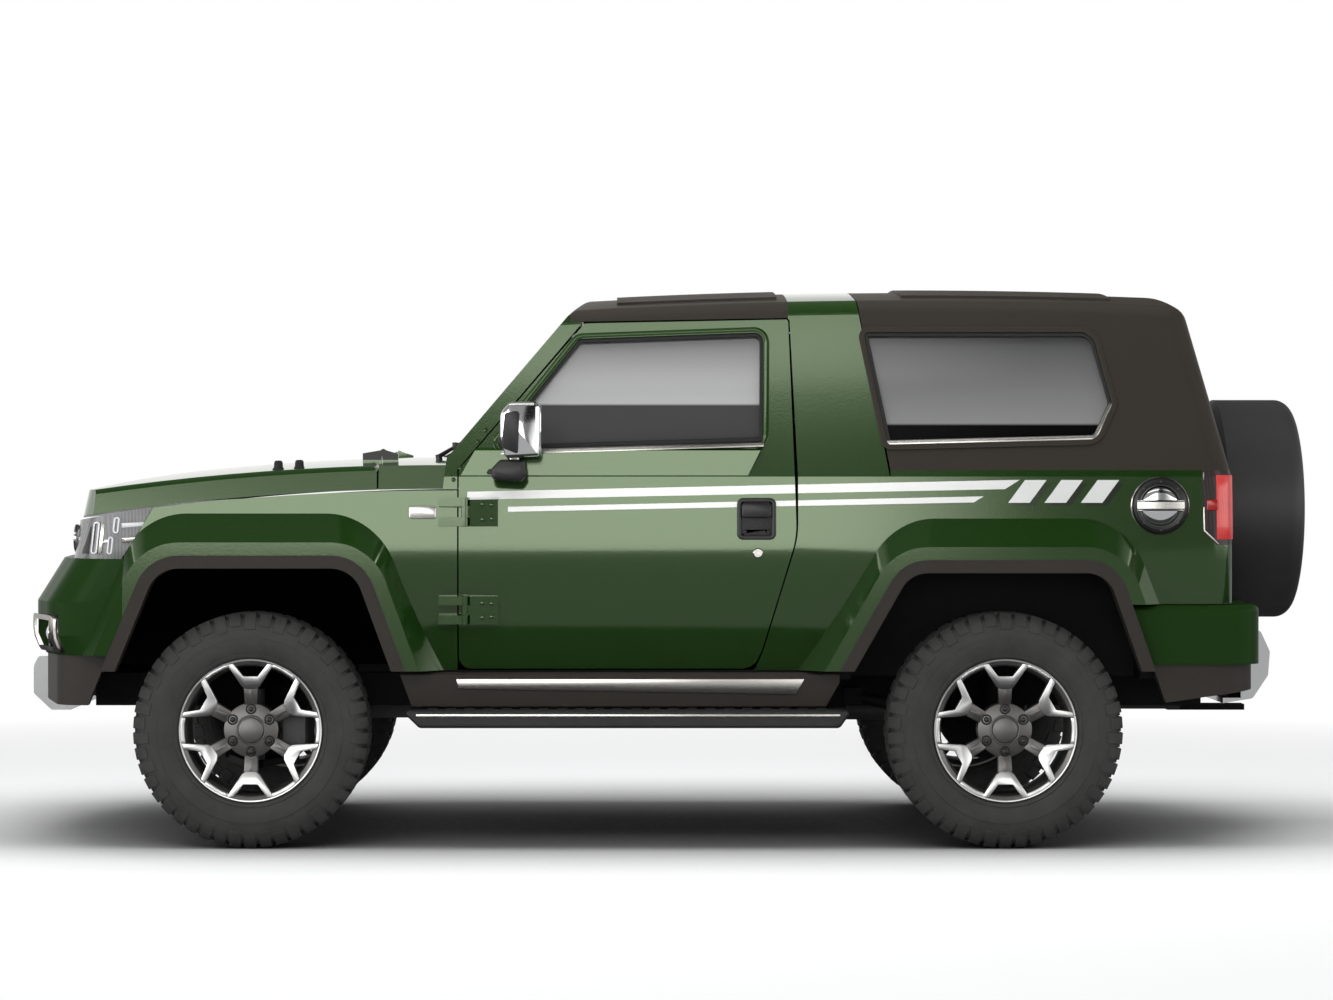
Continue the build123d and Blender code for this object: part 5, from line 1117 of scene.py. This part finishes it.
angles = [tailLook["start"] + (tailLook["end"] - tailLook["start"]) * step / 12 for step in range(13)]
outer = [cornerPoint(a, tailLook["outer"], tailLook["low"]) for a in angles]
inner = [cornerPoint(a, tailLook["inner"], tailLook["low"]) for a in reversed(angles)]
tail = addPlate("tailRedLeft", outer + inner, (0, 0, tailLook["high"] - tailLook["low"]))
openEdit(tail)
for cut in tailLook["cuts"]:
    bpy.ops.mesh.select_all(action="SELECT")
    bpy.ops.mesh.bisect(plane_co=(0, 0, cut), plane_no=(0, 0, 1))
moveVerts(tail, lambda co: co - Vector((0, sideOut(co.x, co.z) - tailLook["side"], 0)))
closeEdit()
soften(tail, 0.002, 2, 50)
dressPair(tail, "tailRedRight", lampRed, chassis)
bracketShape = (box2(1.730, 1.098, 1.766, 1.132), 0.001, -0.006, 0.002, (0.004,) * 4)
slabPair("tailBracket", bracketShape, lampDeep, chassis, sideOut)
tailEdge = (
    (1.719, 1.222), (1.719, 1.031), (1.762, 0.988), (1.770, 0.988), (1.7235, 1.034), (1.7235, 1.222),
)
slabPair("tailEdge", (tailEdge, 0.001, -0.004, 0.001), satinSilver, chassis, sideOut)
print("tail lamps done")


# fog lamp frames on the bumper's corners
def bumperFront(out, z):
    setback = 0.027 * max(0.0, 0.690 - z) / 0.063
    if out < 0.777:
        return bumperX + 0.030 + (out - 0.640) * 0.387 + setback
    return -1.925 - math.sqrt(max(0.0, 0.0225 - (out - 0.723) ** 2)) + setback


fogInset = 0.010
fogOut, fogZ = 0.690, 0.694
fogLoop = roundLoop(((0.578, 0.6335), (0.834, 0.6335), (0.838, 0.755), (0.578, 0.755)), (0.016,) * 4, 5)
fog = addPlate("fogFrameLeft", [Vector((0, -y, z)) for y, z in fogLoop], None)
openEdit(fog)
bpy.ops.mesh.select_mode(type="FACE")
bpy.ops.mesh.select_all(action="SELECT")
bpy.ops.mesh.inset(thickness=0.017)
bpy.ops.mesh.delete(type="FACE")
bpy.ops.mesh.select_all(action="SELECT")
bpy.ops.mesh.subdivide(number_cuts=2)
bpy.ops.mesh.extrude_region_move(TRANSFORM_OT_translate={"value": (-0.008, 0, 0)})
moveVerts(fog, lambda co: co + Vector((bumperFront(-co.y, co.z) + fogInset, 0, 0)))
closeEdit()
dressPair(tidyNormals(fog), "fogFrameRight", satinSilver, chassis)
fogX = bumperFront(0.700, fogZ) + 0.034
fogBezel = addRing("fogBezelLeft", (fogX - 0.002, -fogOut, fogZ), 0.040, 0.006, "X", 48, 10)
dressPair(fogBezel, "fogBezelRight", chromeMetal, chassis)
fogBall = addBall("fogLensLeft", (fogX + 0.018, -fogOut, fogZ), 0.038, 12)
soften(fogBall, 0.0006, 1, 60)
dressPair(fogBall, "fogLensRight", lampGlow, chassis)
print("fog lamps done")

# rubber stops on the hood
stopProfile = (
    (0.0, 0.044), (0.010, 0.043), (0.014, 0.038), (0.015, 0.022),
    (0.022, 0.012), (0.024, -0.004), (0.0, -0.004),
)
stopOut = 0.690
stops = []
for x in (-1.300, -1.231):
    foot = Vector((x, -stopOut, 1.2165 + 0.030 * (x + 1.300)))
    points = [foot + Vector((r, 0, z)) for r, z in stopProfile]
    stops.append(spinProfile("stop", points, foot, (0, 0, 1), 24, False))
dressPair(joinAll("hoodStopLeft", stops), "hoodStopRight", rubberTrim, ("hood", "hood"))


# raised roof panels
def onRoof(co):  # lower and upper face laid along the domed roof
    top = 1.840 - (co.x - 0.810) ** 2 / 40 - co.y ** 2 / 8
    return Vector((co.x, co.y, top + (-0.006 if co.z < 1.85 else 0.009)))


roofRows = (("roofPanelFront", -0.185, 0.345), ("roofPanelRear", 0.760, 1.455))
for name, x0, x1 in roofRows:
    panel = addBlock(name, (x0, -0.560, 1.800), (x1, 0.560, 1.900))
    openEdit(panel)
    bpy.ops.mesh.subdivide(number_cuts=11)
    moveVerts(panel, onRoof)
    closeEdit()
    soften(panel, 0.006, 3, 50)
    dress(panel, bronzeTrim, "chassis", 40)

# header closing the roof's brow above the windscreen
headerLook = {"half": 0.520, "low": 1.736, "top": 1.775, "fall": 0.112, "slope": 0.85}


def onSlope(y, z):
    return Vector((-0.330 + (z - 1.750) * headerLook["slope"], y, z))


headerRun = [headerLook["half"] * (step / 8 - 1) for step in range(17)]
headerLoop = [onSlope(y, headerLook["top"] - headerLook["fall"] * y * y) for y in headerRun]
headerLoop += [onSlope(y, headerLook["low"]) for y in (headerLook["half"], -headerLook["half"])]
header = soften(addPlate("roofHeader", headerLoop, (0.014, 0, 0)), 0.0015, 2, 40)
dress(header, bronzeSatin, "chassis")

# high lamp at the top of the tailgate
highLook = ((1.676, 1.672), (1.702, 1.668), (1.722, 1.606), (1.704, 1.604))
high = addPlate("highLamp", [Vector((x, -0.210, z)) for x, z in highLook], (0, 0.420, 0))
soften(high, 0.006, 3)
dress(high, lampDeep, "tailgate")

# wipers resting on the windscreen
arms = []
for start in (-0.430, 0.190):
    foot = Vector((-0.776, start, 1.262))
    tip = Vector((-0.722, start + 0.30, 1.322))
    low, high = foot - Vector((0, 0, 0.030)), foot + Vector((-0.010, 0, 0.020))
    shaft = addTube("shaft", low, high, 0.013, 16, 0.010)
    arm = addTube("arm", foot + Vector((-0.008, 0, 0.012)), tip, 0.0085, 10, 0.0055)
    blade = addBlock("blade", (-0.738, start - 0.02, 1.300), (-0.722, min(start + 0.56, 0.66), 1.322))
    for piece in (shaft, arm, blade):
        arms.append(soften(piece, 0.002, 2, 25))
wipers = joinAll("wiperArms", arms)
dress(wipers, blackSatin, "chassis")
print("roof, hood and screen pieces done")


# seats with cushions blown up a little
seatLook = {
    "x": -0.090,
    "y": -0.370,
    "wide": 0.430,
    "cushion": ((-0.010, 0.800), (-0.005, 0.908), (0.375, 0.884), (0.400, 0.800)),
    "back": ((0.405, 0.880), (0.522, 1.425), (0.622, 1.425), (0.500, 0.860)),
    "rest": ((0.568, 1.480), (0.582, 1.628), (0.642, 1.628), (0.638, 1.480)),
    "restWide": 0.250,
    "plinth": ((0.005, 0.580), (-0.002, 0.790), (0.455, 0.790), (0.440, 0.580)),
    "shield": ((-0.005, 0.745), (-0.005, 0.815), (0.420, 0.850), (0.512, 0.850), (0.492, 0.745)),
    "knob": (0.470, 0.820),
}
benchLook = {
    "x": 0.805,
    "y": -0.290,
    "half": 0.580,
    "wide": 0.568,
    "restWide": 0.230,
    "cushion": ((-0.008, 0.700), (-0.008, 0.885), (0.350, 0.868), (0.362, 0.700)),
    "back": ((0.375, 0.780), (0.485, 1.390), (0.568, 1.390), (0.470, 0.780)),
    "plinth": ((0.010, 0.580), (0.004, 0.700), (0.470, 0.700), (0.474, 0.580)),
    "rest": ((0.505, 1.392), (0.520, 1.470), (0.574, 1.470), (0.566, 1.392)),
}
puffLook = {"voxel": 0.0095, "force": 4.0, "frames": 18, "most": 0.024}


def puffed(obj):  # cloth under pressure, its travel capped
    pickOnly(obj)
    remesh = obj.modifiers.new("remesh", "REMESH")
    remesh.mode = "VOXEL"
    remesh.voxel_size = puffLook["voxel"]
    bpy.ops.object.modifier_apply(modifier="remesh")
    start = [vert.co.copy() for vert in obj.data.vertices]
    cloth = obj.modifiers.new("cloth", "CLOTH")
    cloth.settings.use_pressure = True
    cloth.settings.uniform_pressure_force = puffLook["force"]
    cloth.settings.effector_weights.gravity = 0.0
    cloth.settings.tension_stiffness = 20.0
    cloth.settings.compression_stiffness = 20.0
    cloth.point_cache.frame_start = 1
    cloth.point_cache.frame_end = puffLook["frames"]
    for frameNumber in range(1, puffLook["frames"] + 1):
        bpy.context.scene.frame_set(frameNumber)
    bpy.ops.object.modifier_apply(modifier="cloth")
    bpy.context.scene.frame_set(1)
    for vert, before in zip(obj.data.vertices, start):
        move = vert.co - before
        if move.length > puffLook["most"]:
            vert.co = before + move.normalized() * puffLook["most"]
    return obj


def pad(name, points, at, wide, centre, bevel=0.030):
    loop = [Vector((at + x, centre - wide / 2, z)) for x, z in points]
    return puffed(soften(addPlate(name, loop, (0, wide, 0)), bevel, 3))


def flutes(points, at, centre, wide, count, lift):  # raised bands across a seat's face
    (ax, az), (bx, bz) = points
    along = Vector((bx - ax, 0, bz - az))
    normal = Vector((-along.z, 0, along.x)).normalized()
    pieces = []
    for number in range(count):
        low = Vector((at + ax, centre, az)) + along * (0.10 + 0.80 * number / count) + normal * lift
        high = low + along * (0.80 / count - 0.02)
        loop = [low - normal * 0.020, low + normal * 0.009, high + normal * 0.009, high - normal * 0.020]
        band = addPlate("band", [p - Vector((0, wide / 2, 0)) for p in loop], (0, wide, 0))
        pieces.append(soften(band, 0.009, 3))
    return pieces


def seatSet(look, side, stem):
    centre = look["y"]
    soft = {
        "Cushion": pad(stem + "CushionLeft", look["cushion"], look["x"], look["wide"], centre),
        "Back": pad(stem + "BackLeft", look["back"], look["x"], look["wide"], centre),
        "Rest": pad(stem + "RestLeft", look["rest"], look["x"], look["restWide"], centre, 0.020),
    }
    for kind, piece in soft.items():
        for item in dressPair(piece, stem + kind + "Right", seatLeather, side, 60):
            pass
    bands = flutes(look["cushion"][1:3], look["x"], centre, look["wide"] * 0.58, 4, 0.006)
    bands += flutes(look["back"][:2], look["x"], centre, look["wide"] * 0.58, 6, 0.006)
    dressPair(joinAll(stem + "BandLeft", bands), stem + "BandRight", seatCloth, side, 50)


seatSet(seatLook, chassis, "seat")
at, centre = seatLook["x"], seatLook["y"]
plinthLoop = [Vector((at + x, centre - 0.190, z)) for x, z in seatLook["plinth"]]
plinth = soften(addPlate("seatPlinthLeft", plinthLoop, (0, 0.380, 0)), 0.012, 3)
for piece in dressPair(plinth, "seatPlinthRight", blackPlastic, chassis):
    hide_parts("front_seats")
shieldLoop = [Vector((at + x, centre - 0.243, z)) for x, z in seatLook["shield"]]
shield = soften(addPlate("shield", shieldLoop, (0, 0.034, 0)), 0.010, 3)
knobX, knobZ = seatLook["knob"]
knobBase = Vector((at + knobX, centre - 0.240, knobZ))
knob = addTube("knob", knobBase, knobBase - Vector((0, 0.022, 0)), 0.034, 32, 0.028)
soften(knob, 0.004, 3, 30)
dressPair(joinAll("seatShieldLeft", [shield, knob]), "seatShieldRight", blackSatin, chassis)
posts = []
for shift in (-0.060, 0.060):
    y = centre + shift
    post = addTube("post", (at + 0.570, y, 1.400), (at + 0.600, y, 1.520), 0.006, 16)
    posts.append(soften(post, 0.001, 1, 30))
dressPair(joinAll("seatPostLeft", posts), "seatPostRight", chromeMetal, chassis)
seatSet(benchLook, chassis, "bench")
at = benchLook["x"]
baseLoop = [Vector((at + x, -benchLook["half"], z)) for x, z in benchLook["plinth"]]
base = soften(addPlate("benchPlinth", baseLoop, (0, 2 * benchLook["half"], 0)), 0.012, 3)
dress(base, blackPlastic, "chassis")
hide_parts("rear_bench")
print("seats done")

# door linings and the tailgate's lining
liningLook = {
    "panel": ((-0.480, 0.690), (0.270, 0.690), (0.310, 0.800), (0.310, 1.190), (-0.480, 1.190)),
    "panelRadii": (0.060, 0.060, 0.060, 0.030, 0.030),
    "rest": ((-0.240, 0.900), (0.250, 0.918), (0.262, 0.950), (0.240, 0.972), (-0.235, 0.952)),
    "pocket": ((-0.400, 0.712), (0.200, 0.712), (0.180, 0.800), (-0.380, 0.800)),
    "pull": ((-0.190, 1.060), (-0.070, 1.064), (-0.070, 1.092), (-0.185, 1.092)),
    "speaker": (-0.390, 0.900),
    "skin": -0.768,
}
panelShape = (liningLook["panel"], -0.788, 0.024, 0.008, liningLook["panelRadii"])
slabPair("doorPanel", panelShape, dashGrain, doors)
restShape = (liningLook["rest"], liningLook["skin"], 0.058, 0.012, (0.012,) * 5)
slabPair("doorRest", restShape, seatLeather, doors, None, 50)
pocketShape = (liningLook["pocket"], liningLook["skin"], 0.040, 0.010, (0.024,) * 4)
slabPair("doorPocket", pocketShape, blackPlastic, doors)
pullShape = (liningLook["pull"], liningLook["skin"], 0.022, 0.005, (0.010,) * 4)
slabPair("doorPull", pullShape, satinSilver, doors)
speakerX, speakerZ = liningLook["speaker"]
speaker = addRing("doorSpeakerLeft", (speakerX, -0.762, speakerZ), 0.066, 0.008, "Y", 48, 10)
dressPair(speaker, "doorSpeakerRight", blackSatin, doors)
gateLoop = roundLoop(((-0.560, 0.920), (0.560, 0.920), (0.560, 1.195), (-0.560, 1.195)), (0.050,) * 4)
gatePanel = addPlate("gatePanel", [Vector((1.744, y, z)) for y, z in gateLoop], (-0.014, 0, 0))
soften(gatePanel, 0.005, 3)
dress(gatePanel, dashGrain, "tailgate")
print("linings done")


# camera, floor and light
cameraLook = {"place": (-0.192, -13.3, 1.206), "lens": 103.46, "shiftX": 0.0386, "shiftY": -0.0173}
clearPick()
bpy.ops.object.camera_add(location=cameraLook["place"], rotation=(math.pi / 2, 0, 0))
camera = bpy.context.object
camera.name = "photoCamera"
camera.data.sensor_width = 36.0
camera.data.lens = cameraLook["lens"]
camera.data.shift_x = cameraLook["shiftX"]
camera.data.shift_y = cameraLook["shiftY"]
camera.data.clip_end = 200.0
bpy.context.scene.camera = camera

floorLook = {
    "size": 120.0, "drop": -0.0005, "near": 2.6, "far": 6.5, "colour": (0.93, 0.93, 0.93),
    "mirrored": (0.04, 0.42, 3.38, 3.46), "shade": 1.4,
}
plainWhite = (1.0, 1.0, 1.0)
clearPick()
bpy.ops.mesh.primitive_plane_add(size=floorLook["size"], location=(0, 0, floorLook["drop"]))
studioFloor = named("studioFloor")
floorFinish, floorTree, floorShader = freshFinish("floorFinish", floorLook["colour"], 0.8, level=0.1)
floorShade = floorTree.nodes.new("ShaderNodeAmbientOcclusion")
floorShade.inputs["Distance"].default_value = floorLook["shade"]
floorShade.inputs["Color"].default_value = (*floorLook["colour"], 1)
floorTree.links.new(floorShade.outputs["Color"], floorShader.inputs["Base Color"])
floorPlace = objectPlace(floorTree)
floorReach = floorTree.nodes.new("ShaderNodeVectorMath")
floorReach.operation = "LENGTH"
floorTree.links.new(floorPlace, floorReach.inputs[0])
floorFade = spread(floorTree, floorReach.outputs["Value"], 0.0, 1.0, floorLook["near"], floorLook["far"])
floorSeen, floorGlossy = seenBy(floorTree)
floorGlow = lightOf(floorTree, "ShaderNodeEmission", plainWhite, 1.0)
floorFar = product(floorTree, floorFade, floorSeen)
floorMix = mixShaders(floorTree, floorFar, floorShader.outputs[0], floorGlow)
floorAcross = mathStep(floorTree, "ABSOLUTE", partsOf(floorTree, floorPlace)[1])
floorMirror = spread(floorTree, floorAcross, *floorLook["mirrored"])
floorDark = lightOf(floorTree, "ShaderNodeEmission", plainWhite, floorMirror)
floorPick = mixShaders(floorTree, floorGlossy, floorMix, floorDark)
floorTree.links.new(floorPick, floorTree.nodes["Material Output"].inputs["Surface"])
studioFloor.data.materials.append(floorFinish)

lampRows = (  # name, place, aim, width, height, watts
    ("topSoftbox", (0.0, -0.6, 5.2), (0.0, 0.0, 0.8), 7.0, 3.6, 300.0),
    ("sideSoftbox", (-1.5, -7.0, 4.6), (0.0, 0.0, 0.9), 6.0, 1.6, 190.0),
    ("backSoftbox", (0.5, 6.0, 4.2), (0.0, 0.0, 0.9), 6.0, 2.0, 90.0),
    ("frontSoftbox", (-7.0, -1.0, 3.2), (-1.5, 0.0, 0.9), 3.0, 2.0, 60.0),
    ("rearSoftbox", (7.0, -1.0, 3.2), (1.5, 0.0, 0.9), 3.0, 2.0, 60.0),
)
for name, place, aim, width, height, watts in lampRows:
    clearPick()
    turn = (Vector(aim) - Vector(place)).to_track_quat("-Z", "Y").to_euler()
    bpy.ops.object.light_add(type="AREA", location=place, rotation=turn)
    lamp = bpy.context.object
    lamp.name = name
    lamp.data.shape = "RECTANGLE"
    lamp.data.size = width
    lamp.data.size_y = height
    lamp.data.energy = watts
    lamp.visible_glossy = False

studioWorld = bpy.data.worlds.new("studioWorld")
bpy.context.scene.world = studioWorld
studioWorld.use_nodes = True
worldTree = studioWorld.node_tree
worldSoft = worldTree.nodes["Background"]
worldSoft.inputs["Color"].default_value = (0.95, 0.97, 1.0, 1)
worldSoft.inputs["Strength"].default_value = 0.25
worldLook = {"top": 5.0, "far": 1.0, "farHigh": 0.15, "shine": (1.0, 1.0, 0.98)}
skyRows = (  # height of the direction, level: one bright band low down and a second higher up
    (0.0, 4.2),
    (0.235, 4.2),
    (0.270, 0.30),
    (0.559, 0.26),
    (0.563, 4.4),
    (0.593, 1.0),
    (0.75, 0.12),
)
sideRows = (  # how far the direction leans to the rear, share of the level
    (0.0, 1.0),
    (0.066, 1.0),
    (0.108, 0.05),
    (0.200, 0.05),
    (0.400, 0.50),
    (0.700, 0.70),
)
worldWhite = lightOf(worldTree, "ShaderNodeBackground", plainWhite, 1.0)
worldSeen, worldGlossy = seenBy(worldTree)
worldPlace = worldTree.nodes.new("ShaderNodeTexCoord")
worldAlong, worldAcross, worldUp = partsOf(worldTree, worldPlace.outputs["Generated"])
skyRamp = rampOf(worldTree, worldUp, skyRows, worldLook["top"])
skyNear = product(worldTree, skyRamp, worldLook["top"])
skyFar = spread(worldTree, worldUp, worldLook["far"], worldLook["farHigh"], 0.15, 0.5)
farSide = spread(worldTree, worldAcross, 0.0, 1.0, 0.0, 0.12)
skyGap = mathStep(worldTree, "SUBTRACT", skyFar, skyNear)
skyLevel = mathStep(worldTree, "MULTIPLY_ADD", farSide, skyGap, skyNear)
skyLevel = product(worldTree, skyLevel, rampOf(worldTree, worldAlong, sideRows))
worldShine = lightOf(worldTree, "ShaderNodeBackground", worldLook["shine"], skyLevel)
worldMix = mixShaders(worldTree, worldSeen, worldSoft.outputs[0], worldWhite)
worldPick = mixShaders(worldTree, worldGlossy, worldMix, worldShine)
worldTree.links.new(worldPick, worldTree.nodes["World Output"].inputs["Surface"])
print("camera, floor and light set")
